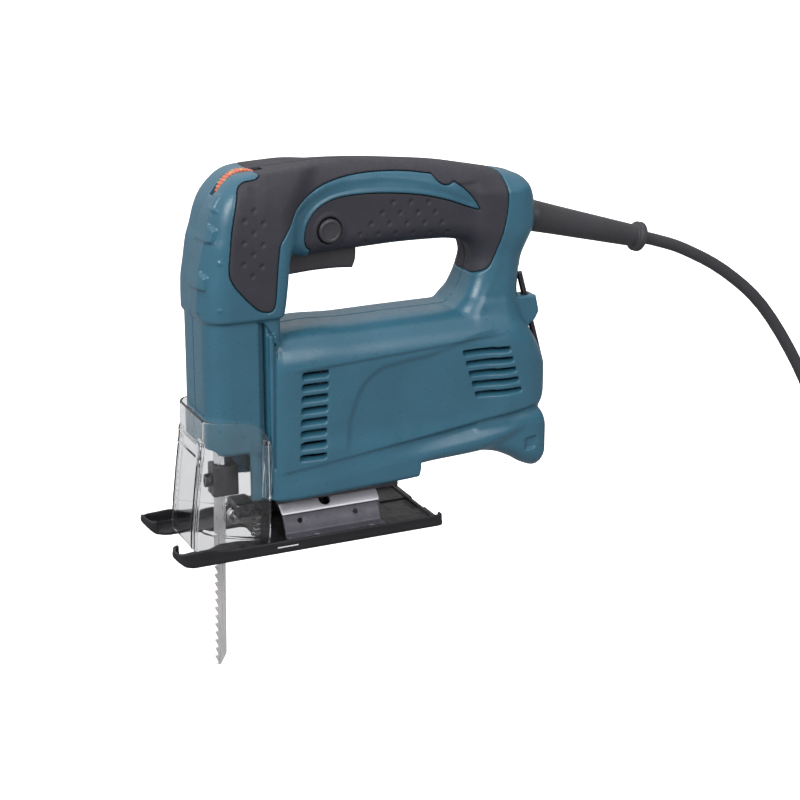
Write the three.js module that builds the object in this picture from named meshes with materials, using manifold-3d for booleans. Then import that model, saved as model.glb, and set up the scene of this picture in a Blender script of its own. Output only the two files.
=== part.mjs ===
// Corded top-handle jigsaw. Millimetres, +Z up, blade end towards -Y, mains cord towards +Y.
// Z = 0 is the underside of the shoe, X = 0 the parting plane of the housing shells.
import * as THREE from 'three';
import { mergeVertices } from 'three/addons/utils/BufferGeometryUtils.js';
import ManifoldModule from 'manifold-3d';

const wasm = await ManifoldModule();
wasm.setup();
const { Manifold, Mesh: SolidMesh } = wasm;

const GAP = 0.3;
const WALL = 3;
const GRIP_DEPTH = 1.6;
const GRIP_THICK = 1.3;

// ---------- solids ----------
function solid(geometry) {
  const bare = new THREE.BufferGeometry();
  bare.setAttribute('position', geometry.getAttribute('position').clone());
  if (geometry.index) bare.setIndex(geometry.index.clone());
  const g = mergeVertices(bare, 1e-4);
  const mesh = new SolidMesh({
    numProp: 3,
    vertProperties: new Float32Array(g.getAttribute('position').array),
    triVerts: new Uint32Array(g.index.array),
  });
  const made = new Manifold(mesh);
  return made;
}
function geometryOf(manifold) {
  const mesh = manifold.getMesh();
  const g = new THREE.BufferGeometry();
  g.setAttribute('position', new THREE.BufferAttribute(new Float32Array(mesh.vertProperties), 3));
  g.setIndex(new THREE.BufferAttribute(new Uint32Array(mesh.triVerts), 1));
  return g;
}
const join = (...parts) => parts.reduce((a, b) => a.add(b));
const cut = (body, ...tools) => tools.reduce((a, b) => a.subtract(b), body);
const common = (a, b) => a.intersect(b);
// the one connected body, without loose slivers left by a cut
const whole = (body) => body.decompose().reduce((a, b) => (b.volume() > a.volume() ? b : a));
const FLATNESS = 0.004;
const FORM_FLATNESS = 0.1;
const WELD = 1e-3;
function cleaned(body) {
  const g = mergeVertices(geometryOf(body.simplify(FLATNESS)).toNonIndexed(), WELD);
  const mesh = new SolidMesh({
    numProp: 3,
    vertProperties: new Float32Array(g.getAttribute('position').array),
    triVerts: new Uint32Array(g.index.array),
  });
  return whole(new Manifold(mesh));
}

function box(x0, x1, y0, y1, z0, z1) {
  const g = new THREE.BoxGeometry(x1 - x0, y1 - y0, z1 - z0);
  g.translate((x0 + x1) / 2, (y0 + y1) / 2, (z0 + z1) / 2);
  return solid(g);
}
// a cone frustum between two points, r0 at p and r1 at q
function rod(p, q, r0, r1 = r0, sides = 16) {
  const a = new THREE.Vector3(...p);
  const b = new THREE.Vector3(...q);
  const g = new THREE.CylinderGeometry(r1, r0, a.distanceTo(b), sides);
  const way = b.clone().sub(a).normalize();
  g.applyQuaternion(new THREE.Quaternion().setFromUnitVectors(new THREE.Vector3(0, 1, 0), way));
  g.translate((a.x + b.x) / 2, (a.y + b.y) / 2, (a.z + b.z) / 2);
  return solid(g);
}
function rounded(points, radius) {
  const shape = new THREE.Shape();
  const count = points.length;
  points.forEach((p, i) => {
    const r = p[2] ?? radius;
    const v = new THREE.Vector2(p[0], p[1]);
    const before = new THREE.Vector2(...points[(i + count - 1) % count]);
    const after = new THREE.Vector2(...points[(i + 1) % count]);
    const a = v.clone().add(before.sub(v).setLength(Math.max(r, 0.01)));
    const b = v.clone().add(after.sub(v).setLength(Math.max(r, 0.01)));
    if (i === 0) shape.moveTo(a.x, a.y);
    else shape.lineTo(a.x, a.y);
    if (r > 0) shape.quadraticCurveTo(v.x, v.y, b.x, b.y);
  });
  shape.closePath();
  return shape;
}
const asShape = (points, radius) => (Array.isArray(points) ? rounded(points, radius) : points);
function extruded(points, depth, radius, segments) {
  const options = { depth, bevelEnabled: false, curveSegments: segments };
  return new THREE.ExtrudeGeometry(asShape(points, radius), options);
}
// outline in (y, z), pushed along X
function alongX(points, x0, x1, radius = 0, segments = 4) {
  const g = extruded(points, x1 - x0, radius, segments);
  g.applyMatrix4(new THREE.Matrix4().set(0, 0, 1, x0, 1, 0, 0, 0, 0, 1, 0, 0, 0, 0, 0, 1));
  return solid(g);
}
// outline in (x, z), pushed along Y
function alongY(points, y0, y1, radius = 0, segments = 4) {
  const g = extruded(points, y1 - y0, radius, segments);
  g.applyMatrix4(new THREE.Matrix4().set(1, 0, 0, 0, 0, 0, -1, y1, 0, 1, 0, 0, 0, 0, 0, 1));
  return solid(g);
}
// outline in (x, y), pushed along Z
function alongZ(points, z0, z1, radius = 0, segments = 4) {
  const g = extruded(points, z1 - z0, radius, segments);
  g.translate(0, 0, z0);
  return solid(g);
}
function lathe(profile, sides, place) {
  const points = profile.map(([r, h]) => new THREE.Vector2(r, h));
  const g = new THREE.LatheGeometry(points, sides);
  g.applyMatrix4(place);
  return solid(g);
}
// puts a lathe's own axis on the line from p along way
function axisAt(p, way) {
  const q = new THREE.Quaternion();
  q.setFromUnitVectors(new THREE.Vector3(0, 1, 0), new THREE.Vector3(...way).normalize());
  return new THREE.Matrix4().compose(new THREE.Vector3(...p), q, new THREE.Vector3(1, 1, 1));
}

// ---------- lofted forms ----------
const CORNER_STEPS = 3;
// a rounded rectangle: half width w, from low to high, with corner radii at each end
function ringPoints(w, low, high, rLow, rHigh) {
  const limit = Math.min(w, (high - low) / 2) * 0.98;
  const a = Math.max(0.4, Math.min(rLow, limit));
  const b = Math.max(0.4, Math.min(rHigh, limit));
  const corners = [
    [w - a, low + a, a, -90],
    [w - b, high - b, b, 0],
    [-w + b, high - b, b, 90],
    [-w + a, low + a, a, 180],
  ];
  const points = [];
  for (const [cx, cy, r, start] of corners) {
    for (let k = 0; k <= CORNER_STEPS; k += 1) {
      const t = THREE.MathUtils.degToRad(start + (90 * k) / CORNER_STEPS);
      points.push([cx + r * Math.cos(t), cy + r * Math.sin(t)]);
    }
  }
  return points;
}
function lofted(rings) {
  const n = rings[0].length;
  const positions = rings.flat(2);
  const index = [];
  for (let i = 0; i + 1 < rings.length; i += 1) {
    for (let k = 0; k < n; k += 1) {
      const a = i * n + k;
      const b = i * n + ((k + 1) % n);
      index.push(a, b, b + n, a, b + n, a + n);
    }
  }
  const last = (rings.length - 1) * n;
  for (let k = 1; k + 1 < n; k += 1) {
    index.push(0, k + 1, k);
    index.push(last, last + k, last + k + 1);
  }
  const g = new THREE.BufferGeometry();
  g.setAttribute('position', new THREE.Float32BufferAttribute(positions, 3));
  g.setIndex(index);
  return g;
}
function flipped(g) {
  const order = g.index.array;
  for (let i = 0; i < order.length; i += 3) {
    const keep = order[i];
    order[i] = order[i + 1];
    order[i + 1] = keep;
  }
  return g;
}
// stations [at, low, high, halfWidth, rLow, rHigh], stacked along Y (low and high are Z)
function loftY(stations, inset = 0) {
  const last = stations.length - 1;
  const rings = stations.map(([at, low, high, w, rLow, rHigh], i) => {
    const y = at + (i === 0 ? inset : 0) - (i === last ? inset : 0);
    const ring = ringPoints(w - inset, low + inset, high - inset, rLow - inset, rHigh - inset);
    return ring.map(([x, z]) => [x, y, z]);
  });
  return solid(flipped(lofted(rings)));
}
// stations [at, front, rear, halfWidth, rFront, rRear], stacked along Z (front and rear are Y)
function loftZ(stations, inset = 0) {
  const last = stations.length - 1;
  const rings = stations.map(([at, front, rear, w, rFront, rRear], i) => {
    const z = at + (i === 0 ? inset : 0) - (i === last ? inset : 0);
    const ring = ringPoints(w - inset, front + inset, rear - inset, rFront - inset, rRear - inset);
    return ring.map(([x, y]) => [x, y, z]);
  });
  return solid(lofted(rings));
}

// ---------- housing form ----------
const COLUMN = [
  [53, -51.5, -12, 23.3, 12, 3],
  [119, -51.2, -12, 23.5, 12, 3],
  [124, -52.6, -10, 25.6, 13, 4],
  [138, -53.2, -8, 26, 13, 4],
  [154, -51, -6, 26, 13, 5],
  [166, -48, -4, 25.4, 12, 6],
  [176, -45.6, -2, 24.4, 12, 8],
  [184, -41.6, 2, 22.6, 11, 8],
  [190.5, -36, 5, 20, 10, 8],
  [195, -29.5, 7, 17, 9, 8],
  [198, -20, 8, 12, 7, 7],
];
const LEG = [
  [27, -30, -12, 23.3, 2, 2],
  [60, -30, -12, 23.3, 2, 2],
];
const HANDLE = [
  [-16, 149, 198, 16.5, 10, 11],
  [5, 149.5, 198.2, 17.5, 10, 13],
  [32, 150, 196.8, 17.5, 11, 13],
  [60, 150.5, 194.2, 17.5, 12, 13],
  [83, 150, 191.4, 17.5, 12, 13],
  [100, 147, 188, 17.5, 12, 13],
  [115, 143, 184.6, 17.5, 12, 13],
  [127, 142, 181, 17, 12, 12],
  [134.5, 145, 177, 15.6, 12, 11],
  [139, 150, 171.5, 13, 9, 9],
  [140.6, 155, 166, 9, 5, 5],
];
const POST = [
  [100, 88, 131, 26, 9, 13],
  [112, 92, 128.5, 22, 9, 13],
  [120, 96, 128, 19.5, 10, 12],
  [130, 100, 129.5, 18.4, 11, 12],
  [140, 102, 132.6, 18, 12, 12],
  [147, 102, 135.4, 17.8, 12, 12],
  [156, 101, 139, 17.2, 12, 12],
  [172, 98, 136, 15, 10, 10],
];
const BODY = [
  [-19.5, 27, 110, 26, 4, 15],
  [-12, 27, 115, 28.6, 5, 18],
  [8, 27.6, 116.6, 29.5, 6, 20],
  [57.5, 29.8, 116.6, 29.5, 6, 20],
  [60.5, 34.6, 116.6, 29.5, 6, 20],
  [98, 36, 116, 29.3, 6, 20],
  [116, 39, 113, 28.6, 8, 19],
  [127, 43, 107, 27.4, 10, 18],
  [134, 48, 98.5, 25.4, 12, 16],
  [139, 54, 88, 22.4, 12, 12],
  [141, 60, 78, 17, 8, 8],
];
const TAIL = [
  [96, 36, 58, 26.4, 6, 6],
  [110, 33, 58, 26.8, 8, 8],
  [120, 28.4, 57.6, 27, 9, 9],
  [128, 23.4, 57.2, 27, 10, 9],
  [135, 21, 56, 26.6, 10, 9],
  [139.6, 23.4, 52.5, 25, 9, 8],
  [140.8, 28, 48, 22.5, 7, 7],
];
const RIB = { y0: -19.7, y1: -15.4, x: 26.2, z0: 27, z1: 115 };
const CLIP = { x0: 6.5, x1: 17.5, y0: 122, y1: 138.4, z0: 97.5, z1: 114.5 };

function outerForm(inset) {
  const forms = join(
    loftZ(COLUMN, inset),
    loftZ(LEG, inset),
    loftY(HANDLE, inset),
    loftZ(POST, inset),
    loftY(BODY, inset),
    loftY(TAIL, inset),
  );
  return forms.simplify(FORM_FLATNESS);
}
function ribs() {
  const side = [[RIB.y0, RIB.z0], [RIB.y1, RIB.z0], [RIB.y1, RIB.z1], [RIB.y0, RIB.z1 - 3]];
  return join(alongX(side, 21, RIB.x, 0), alongX(side, -RIB.x, -21, 0));
}
function wrenchClip() {
  const c = CLIP;
  const side = [[c.y0, c.z0 - 6], [c.y1 - 3, c.z0], [c.y1, c.z0 + 6], [c.y1 - 1.5, c.z1], [c.y0, c.z1]];
  return alongX(side, c.x0, c.x1, 1.2, 2);
}

// ---------- motion and drive line ----------
// the bevel tilt turns about the Y axis, in the plane of the shoe's underside
const SEAT_R = 22.8;
const ARCH_OUT = 22.5;
const ARCH_IN = 20.9;
const LINER_OUT = 20.6;
const LINER_IN = 18.9;
const BOLT_Y = 14;
const MOTOR_Z = 72;
const PINION_R = 3.6;
const GEAR_R = 18;
const GEAR_Z = MOTOR_Z + PINION_R + GEAR_R;
const CRANK = 9;
const PLUNGER_Y = -38;
const GEAR_Y0 = -27;
const GEAR_Y1 = -19;

// ---------- elastomer region, seen from the side, outline in (y, z) ----------
const GRIP_OUTER = [
  [-23.4, 205], [-25, 195.4], [-33.3, 191.8], [-34.4, 187.5], [-36.8, 171], [-39.1, 155.5],
  [-39.4, 147.5], [-36.5, 141.2], [-25.8, 129.4], [-21, 127.2], [-17, 127.8], [-15.6, 132.6],
  [-12.7, 159.6], [-9.7, 164.7], [-6, 169.4], [-2, 176.1], [5.7, 181.8], [15.4, 187.1], [29.9, 190.8],
  [44.6, 191.9], [61.3, 191.4], [71.3, 188.8], [77.5, 182.7], [85.1, 182], [92, 179], [97.5, 173.6],
  [101.1, 166.3], [84.4, 172.7], [69.1, 176.9], [50.3, 179.6], [31.9, 180.4], [19.5, 179.4],
  [10, 175.4], [4, 167.2], [3.2, 160.4], [5.4, 154.6], [6, 140], [92.5, 128], [104, 132.5],
  [108.3, 135.6], [112.5, 146.2], [116.9, 161.1], [118.1, 171.2], [117.4, 181.4], [114, 190], [110, 205],
];
function gripRegion(margin, x0, x1) {
  const side = alongX(GRIP_OUTER, x0, x1, 0);
  if (margin === 0) return side;
  const moves = [[margin, 0], [-margin, 0], [0, margin], [0, -margin]];
  return join(side, ...moves.map(([y, z]) => side.translate([0, y, z])));
}

// ---------- cuts ----------
const LEFT_VENTS = { count: 8, y0: -4.5, y1: 10.5, top: 92.4, pitch: 6.2, tall: 2.7 };
const REAR_VENTS = { count: 5, y0: 88.4, y1: 115.8, top: 91.6, pitch: 5.9, tall: 3, shift: 1.85 };
function vents() {
  const slots = [];
  const f = LEFT_VENTS;
  for (let i = 0; i < f.count; i += 1) {
    const z = f.top - i * f.pitch;
    slots.push(box(-35, 35, f.y0, f.y1, z - f.tall / 2, z + f.tall / 2));
  }
  const r = REAR_VENTS;
  for (let i = 0; i < r.count; i += 1) {
    const z = r.top - i * r.pitch;
    const y = i * r.shift;
    slots.push(box(-35, 35, r.y0 + y, r.y1 + y, z - r.tall / 2, z + r.tall / 2));
  }
  return join(...slots);
}
const DIAL = { y: -24, z: 182, r: 12.4, half: 3.6 };
const BUTTON = { y: 17, z: 163.4, r: 6.3, in: 13.5, out: 19.6 };
const TRIGGER = { y0: -4.6, y1: 30.5, z0: 143, z1: 160, half: 7.4 };
const GUARD_START = [0, 124, 160.9];
const GUARD_WAY = [0, 0.9653, -0.2611];
const along = (d) => GUARD_START.map((v, i) => v + GUARD_WAY[i] * d);
const SCREWS = [[-43, 158], [62, 183], [100, 152], [124, 92], [30, 108.5]];
const SCREW = { head: 3, shank: 1.6, x0: -11, x1: 9 };

function openings() {
  return join(
    vents(),
    rod([-DIAL.half - 0.5, DIAL.y, DIAL.z], [DIAL.half + 0.5, DIAL.y, DIAL.z], DIAL.r + 0.6, DIAL.r + 0.6, 28),
    box(-TRIGGER.half - 0.4, TRIGGER.half + 0.4, TRIGGER.y0 - 0.4, TRIGGER.y1 + 0.6, 140, 160),
    rod([12, BUTTON.y, BUTTON.z], [30, BUTTON.y, BUTTON.z], BUTTON.r + 0.35, BUTTON.r + 0.35, 24),
    rod(along(4), along(30), 8.6, 8.2, 20),
    box(-17.6, 17.6, -13, 57.5, 18, 38),
    box(-20, 20, -60, -13, 20, 56.2),
    box(-35, -21.8, -23.6, -19.8, 20, 119),
    box(21.8, 35, -23.6, -19.8, 20, 119),
    rod([0, 125, 38.5], [0, 150, 38.5], 12.5, 13.5, 24),
  );
}
function cavity() {
  const inside = join(
    loftZ(COLUMN, WALL),
    loftY(HANDLE, WALL),
    loftZ(POST, WALL),
    loftY(BODY, WALL),
  );
  return inside.simplify(FORM_FLATNESS * 3);
}
function bosses(side) {
  const posts = SCREWS.map(([y, z]) => rod([side * 0.15, y, z], [side * 27, y, z], 4.2, 4.2, 10));
  return common(join(...posts), outerForm(1.8));
}
function screwHoles() {
  const holes = SCREWS.map(([y, z]) => rod([SCREW.x0 - 1, y, z], [SCREW.x1 + 2, y, z], 1.95, 1.95, 10));
  const bores = SCREWS.map(([y, z]) => rod([-40, y, z], [SCREW.x0 + 3.3, y, z], 3.3, 3.3, 10));
  return join(...holes, ...bores);
}
function housingSolid() {
  const outer = join(outerForm(0), ribs(), wrenchClip());
  const recess = cut(gripRegion(GAP, -60, 60), outerForm(GRIP_DEPTH));
  const shell = cut(outer, cavity(), recess);
  return shell;
}
const HOUSING = housingSolid();
const OPENINGS = openings();
function shellHalf(side) {
  const half = side > 0 ? box(0.15, 60, -90, 180, 0, 230) : box(-60, -0.15, -90, 180, 0, 230);
  const shell = join(common(HOUSING, half), common(bosses(side), half));
  return whole(cut(shell, OPENINGS, screwHoles(), wrenchRoom()));
}
function gripHalf(side) {
  const half = side > 0 ? box(0.15, 60, -90, 180, 0, 230) : box(-60, -0.15, -90, 180, 0, 230);
  const skin = cut(outerForm(0), outerForm(GRIP_THICK));
  const body = common(common(skin, gripRegion(0, -60, 60)), half);
  return whole(cut(body, OPENINGS, screwHoles()));
}

// ---------- gear housing with the bevel seat ----------
function gearHousing() {
  const PLATE_Y = [-12.6, -9.4];
  const block = alongY([[-17, 42], [-17, 27.4], [-14, 18.2], [14, 18.2], [17, 27.4], [17, 42]], PLATE_Y[0], 57);
  // the bracket's feet swing up beside the seat when the shoe is tilted
  const footSwing = rod([0, -20, 0], [0, 70, 0], 27.9, 27.9, 48);
  const footRoom = join(box(-30, -12.4, -20, 70, 0, 26), box(12.4, 30, -20, 70, 0, 26));
  const seat = cut(block, rod([0, -20, 0], [0, 70, 0], SEAT_R, SEAT_R, 48), common(footSwing, footRoom));
  const plate = alongY([[-16, 38], [16, 38], [19.5, 60], [19.5, 100], [12, 107.5], [-12, 107.5], [-19.5, 100], [-19.5, 60]], PLATE_Y[0], PLATE_Y[1], 2, 2);
  const lowerArm = join(box(-8, 8, -33, PLATE_Y[1], 61, 66.8), rod([0, PLUNGER_Y, 61], [0, PLUNGER_Y, 66.8], 9, 9, 20));
  const riser = join(box(-8, 8, -18.4, PLATE_Y[1], 99, 107.5), box(-8, 8, -18.4, -15.4, 99, 124));
  const upperArm = join(riser, box(-8, 8, -33, -15.4, 116.4, 124), rod([0, PLUNGER_Y, 116.4], [0, PLUNGER_Y, 124], 9, 9, 20));
  const keyway = join(box(-3, 3, -2, 52, 15, 28), box(-7.4, 7.4, -2, 52, 27.4, 32));
  return cut(
    join(seat, plate, lowerArm, upperArm),
    rod([0, -20, MOTOR_Z], [0, 0, MOTOR_Z], 8.4, 8.4, 24),
    rod([0, -20, GEAR_Z], [0, 0, GEAR_Z], 3.3, 3.3, 16),
    rod([0, PLUNGER_Y, 50], [0, PLUNGER_Y, 130], 6.9, 6.9, 20),
    keyway,
  );
}

// ---------- motor ----------
function ringY(rOut, rIn, y0, y1, z, sides = 24) {
  const place = axisAt([0, y0, z], [0, 1, 0]);
  const h = y1 - y0;
  return lathe([[rIn, 0], [rOut, 0], [rOut, h], [rIn, h], [rIn, 0]], sides, place);
}
function toothed(teeth, root, tip, y0, y1, z, turn = 0) {
  const shape = new THREE.Shape();
  for (let i = 0; i < teeth; i += 1) {
    const step = (2 * Math.PI) / teeth;
    [[-0.27, root], [-0.13, tip], [0.13, tip], [0.27, root]].forEach(([part, r], k) => {
      const t = (i + part + turn) * step;
      if (i === 0 && k === 0) shape.moveTo(r * Math.cos(t), r * Math.sin(t));
      else shape.lineTo(r * Math.cos(t), r * Math.sin(t));
    });
  }
  shape.closePath();
  return alongY(shape, y0, y1).translate([0, 0, z]);
}
function statorCore() {
  const ring = ringY(24.4, 21, 20, 62, MOTOR_Z, 28);
  const pole = common(box(-9, 9, 20, 62, MOTOR_Z + 12, MOTOR_Z + 23), rod([0, 20, MOTOR_Z], [0, 62, MOTOR_Z], 23, 23, 28));
  const poles = join(pole, pole.translate([0, 0, -35]));
  return cut(join(ring, poles), rod([0, 10, MOTOR_Z], [0, 70, MOTOR_Z], 14.6, 14.6, 24));
}
function fieldCoil(side) {
  const z0 = MOTOR_Z + side * 12.4;
  const z1 = MOTOR_Z + side * 15.6;
  const low = Math.min(z0, z1);
  const outer = box(-13.2, 13.2, 15.6, 66.4, low, low + 3.2);
  return cut(outer, box(-9.3, 9.3, 19.7, 62.3, low - 1, low + 6), rod([0, 10, MOTOR_Z], [0, 72, MOTOR_Z], 15, 15, 24));
}
function fan() {
  const hub = ringY(6, 4.1, -7, 8, MOTOR_Z, 16);
  const disc = ringY(21.5, 5, 6.2, 8, MOTOR_Z, 28);
  const blades = [];
  for (let i = 0; i < 9; i += 1) {
    const blade = box(4.6, 20.6, -5, 7, -0.9, 0.9).rotate([0, i * 40, 0]).translate([0, 0, MOTOR_Z]);
    blades.push(cut(blade, rod([0, -8, MOTOR_Z], [0, 9, MOTOR_Z], 5, 5, 16)));
  }
  return join(hub, disc, ...blades);
}
function armatureShaft() {
  return join(
    rod([0, -28, MOTOR_Z], [0, -15.4, MOTOR_Z], 2.2, 2.2, 12),
    rod([0, -15.6, MOTOR_Z], [0, 98, MOTOR_Z], 3.8, 3.8, 16),
  );
}
function commutator() {
  const body = ringY(9, 4.1, 70, 84, MOTOR_Z, 24);
  return join(body, ringY(10, 4.1, 70, 72.4, MOTOR_Z, 24));
}
function brushHolder(side) {
  const x = [11.5 * side, 25 * side].sort((a, b) => a - b);
  const y = 77;
  const body = box(x[0], x[1], y - 5.6, y + 5.6, MOTOR_Z - 4.4, MOTOR_Z + 4.4);
  return cut(body, box(x[0] - 1, x[1] + 1, y - 3.8, y + 3.8, MOTOR_Z - 2.8, MOTOR_Z + 2.8));
}
function brush(side) {
  const x = [9.4 * side, 22 * side].sort((a, b) => a - b);
  return box(x[0], x[1], 77 - 3.4, 77 + 3.4, MOTOR_Z - 2.4, MOTOR_Z + 2.4);
}

// ---------- saw drive ----------
function crankGear() {
  const teeth = toothed(40, GEAR_R - 1.1, GEAR_R + 0.62, GEAR_Y0, GEAR_Y1, GEAR_Z, 0.5);
  const dish = ringY(14.6, 6, GEAR_Y1 - 3, GEAR_Y1 + 0.5, GEAR_Z, 24);
  return cut(
    teeth,
    dish,
    rod([0, -30, GEAR_Z], [0, -10, GEAR_Z], 3.15, 3.15, 16),
    rod([0, -30, GEAR_Z - CRANK], [0, -22, GEAR_Z - CRANK], 2.9, 2.9, 12),
  );
}
function yoke() {
  const plate = alongY([[-14.5, 79], [14.5, 79], [14.5, 90.4], [-14.5, 90.4]], -33.1, -30.4, 3, 3);
  const slot = alongY([[-12, 81.9], [12, 81.9], [12, 87.3], [-12, 87.3]], -34, -29, 2.6, 4);
  return cut(plate, slot);
}
function plungerRod() {
  return rod([0, PLUNGER_Y, 42.3], [0, PLUNGER_Y, 130], 4.5, 4.5, 20);
}
function bladeClamp() {
  const block = alongZ([[-6.2, -44.6], [6.2, -44.6], [6.2, -30.8], [-6.2, -30.8]], 26, 42, 1.6, 3);
  const slot = box(-0.95, 0.95, -46, -35.4, 25, 41);
  return cut(block, slot, rod([0, -50, 34], [0, -40, 34], 2.4, 2.4, 12));
}
function clampScrew() {
  return cut(rod([0, -48.4, 34], [0, -44.9, 34], 3.6, 3.6, 12), rod([0, -49, 34], [0, -46, 34], 1.7, 1.7, 6));
}
const BLADE = { back: -35.9, front: -43.2, tip: -72, top: 40.6, teeth: 13, pitch: 4.1 };
function blade() {
  const b = BLADE;
  const line = [[b.back, b.top], [b.back, b.tip + 6], [b.back - 3.4, b.tip], [b.front + 0.6, b.tip]];
  for (let i = 0; i < b.teeth; i += 1) {
    const z = b.tip + 1 + i * b.pitch;
    line.push([b.front + 1.5, z], [b.front, z + b.pitch - 0.5]);
  }
  line.push([b.front + 1.5, b.tip + 1 + b.teeth * b.pitch], [b.front + 0.2, 0], [b.front + 0.2, 24], [b.front + 1.2, b.top]);
  return alongX(line, -0.6, 0.6);
}
function retainerArm() {
  const side = [[-28.8, 60.6], [-20, 60.6], [-20, 52], [-24, 44], [-24, 20], [-28.8, 20]];
  const cheek = [[-28.8, 24], [-24, 24], [-24, 12], [-28, 7.4], [-33, 7.4], [-34.2, 12], [-32, 18]];
  const body = join(alongX(side, -4.2, 4.2), alongX(cheek, 2.6, 4.2, 0.8, 2), alongX(cheek, -4.2, -2.6, 0.8, 2));
  return cut(body, rod([-8, -31.6, 12], [8, -31.6, 12], 1.8, 1.8, 12));
}

// ---------- handle parts ----------
function trigger() {
  const t = TRIGGER;
  const side = [
    [t.y0, t.z0, 2], [t.y1 - 3, t.z0 + 0.6, 3], [t.y1, 150, 2], [t.y1, t.z1 - 4, 0], [t.y0, t.z1 - 4, 0],
  ];
  return alongX(side, -t.half, t.half, 1, 3);
}
function lockButton() {
  const b = BUTTON;
  return lathe([[0, 0], [b.r, 0], [b.r, 5.2], [b.r - 1, 6.1], [0, 6.1]], 24, axisAt([b.in, b.y, b.z], [1, 0, 0]));
}
function speedDial() {
  const d = DIAL;
  const shape = new THREE.Shape();
  const ridges = 24;
  for (let i = 0; i < ridges; i += 1) {
    const step = (2 * Math.PI) / ridges;
    [[-0.3, d.r - 0.8], [-0.2, d.r], [0.2, d.r], [0.3, d.r - 0.8]].forEach(([part, r], k) => {
      const t = (i + part) * step;
      if (i === 0 && k === 0) shape.moveTo(r * Math.cos(t), r * Math.sin(t));
      else shape.lineTo(r * Math.cos(t), r * Math.sin(t));
    });
  }
  shape.closePath();
  return alongX(shape, -d.half, d.half).translate([0, d.y, d.z]);
}
function cordGuard() {
  const profile = [
    [4, 0], [9.6, 0], [9.6, 3.2], [7.8, 3.4], [7.8, 16], [8.1, 18], [5.6, 86], [7.4, 87.4], [7.4, 89.4],
    [5.4, 90.6], [4, 90.6], [4, 0],
  ];
  return lathe(profile, 24, axisAt(GUARD_START, GUARD_WAY));
}
function cordClamp() {
  const body = box(-9, 9, 113, 119, 158, 168);
  return cut(body, rod(along(-20), along(2), 3.9, 3.9, 12));
}

// ---------- dust cover ----------
const COVER = { front: -57.6, rear: -20.4, x: 26.6, thick: 1.5, z0: 3, z1: 70 };
function dustCover() {
  const c = COVER;
  const t = c.thick;
  const outline = (m) => [[-c.x + m, c.rear + 1], [-c.x + m, c.front + m], [c.x - m, c.front + m], [c.x - m, c.rear + 1]];
  const edge = (m, r) => outline(m).map((p, i) => [...p, i === 1 || i === 2 ? r : 0]);
  const band = cut(alongZ(edge(0, 9), c.z0, c.z1, 0, 5), alongZ(edge(t, 7.6), c.z0 - 1, c.z1 + 1, 0, 5));
  const trimmed = cut(band, box(-40, 40, c.rear, 0, 0, 80));
  const lips = join(box(22.2, 25.6, -22.6, -20.4, 27.4, 66), box(-25.6, -22.2, -22.6, -20.4, 27.4, 66));
  const corner = alongX([[-26, c.z1 + 1], [-15, c.z1 + 1], [-15, c.z1 - 16], [-20.4, c.z1 - 13], [-22.4, c.z1 - 4]], -40, 40);
  const foot = alongX([[-24, c.z0 - 1], [-15, c.z0 - 1], [-15, c.z0 + 6], [-20.4, c.z0 + 3.6]], -40, 40);
  return cut(join(trimmed, lips), corner, foot);
}

// ---------- shoe ----------
const SHOE = { x: 32, y0: -75, y1: 75, thick: 2.4, rim: 5.2 };
function shoePlate() {
  const s = SHOE;
  const plan = [
    [-s.x, s.y1, 4], [-s.x, s.y0 + 6, 5], [-s.x + 8, s.y0, 3], [-18, s.y0 + 1, 2.5], [-15, -62, 3], [-15, -52, 3], [-10.5, -45, 2],
    [-10.5, -23, 3], [10.5, -23, 3], [10.5, -45, 2], [15, -52, 3], [15, -62, 3], [18, s.y0 + 1, 2.5], [s.x - 8, s.y0, 3],
    [s.x, s.y0 + 6, 5], [s.x, s.y1, 4],
  ];
  const block = alongZ(plan, 0, 14, 0, 3);
  const deck = s.thick;
  const side = [[s.y0, 8.6], [s.y0 + 4, 3.2], [s.y0 + 10, 0.6], [s.y0 + 16, 0], [s.y1, 0]];
  const top = [[s.y1, deck], [s.y0 + 17, deck], [s.y0 + 10, deck + 1], [s.y0 + 5, 6.4], [s.y0 + 1.4, 10.6]];
  const sheet = common(block, alongX([...side, ...top], -40, 40));
  const rimSide = [[-64, 0.6], [s.y1, 0.6], [s.y1, s.rim], [-66, s.rim], [-69.6, s.rim + 1.4], [-69, 3.6]];
  const rims = common(block, join(alongX(rimSide, s.x - 1.6, s.x), alongX(rimSide, -s.x, -s.x + 1.6)));
  const backRib = box(-s.x + 1, s.x - 1, s.y1 - 5, s.y1 - 3.4, 1, 3.6);
  return cut(join(sheet, rims, backRib), rod([0, BOLT_Y, -1], [0, BOLT_Y, 6], 4.6, 4.6, 16));
}
const ARCH_Y0 = -12;
const ARCH_Y1 = 41;
// the arc slot for the clamp bolt, from the near end angle to the far one, measured from straight up
function boltSlot() {
  const fan = [[0, 0]];
  for (let i = 0; i <= 8; i += 1) {
    const t = THREE.MathUtils.degToRad(-54.5 + (i * 92.5) / 8);
    fan.push([30 * Math.sin(t), 30 * Math.cos(t)]);
  }
  return alongY(fan, BOLT_Y - 2.6, BOLT_Y + 2.6);
}
function halfPipe(rOut, rIn, low, sides) {
  const tube = cut(
    rod([0, ARCH_Y0, 0], [0, ARCH_Y1, 0], rOut, rOut, sides),
    rod([0, ARCH_Y0 - 1, 0], [0, ARCH_Y1 + 1, 0], rIn, rIn, sides),
  );
  return cut(tube, box(-30, 30, ARCH_Y0 - 1, ARCH_Y1 + 1, -30, low));
}
function bevelArch() {
  const dimple = rod([12, BOLT_Y + 16, 12], [20, BOLT_Y + 16, 20], 0.9, 0.9, 8);
  return cut(halfPipe(ARCH_OUT, ARCH_IN, 14.2, 56), boltSlot(), dimple);
}
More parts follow.
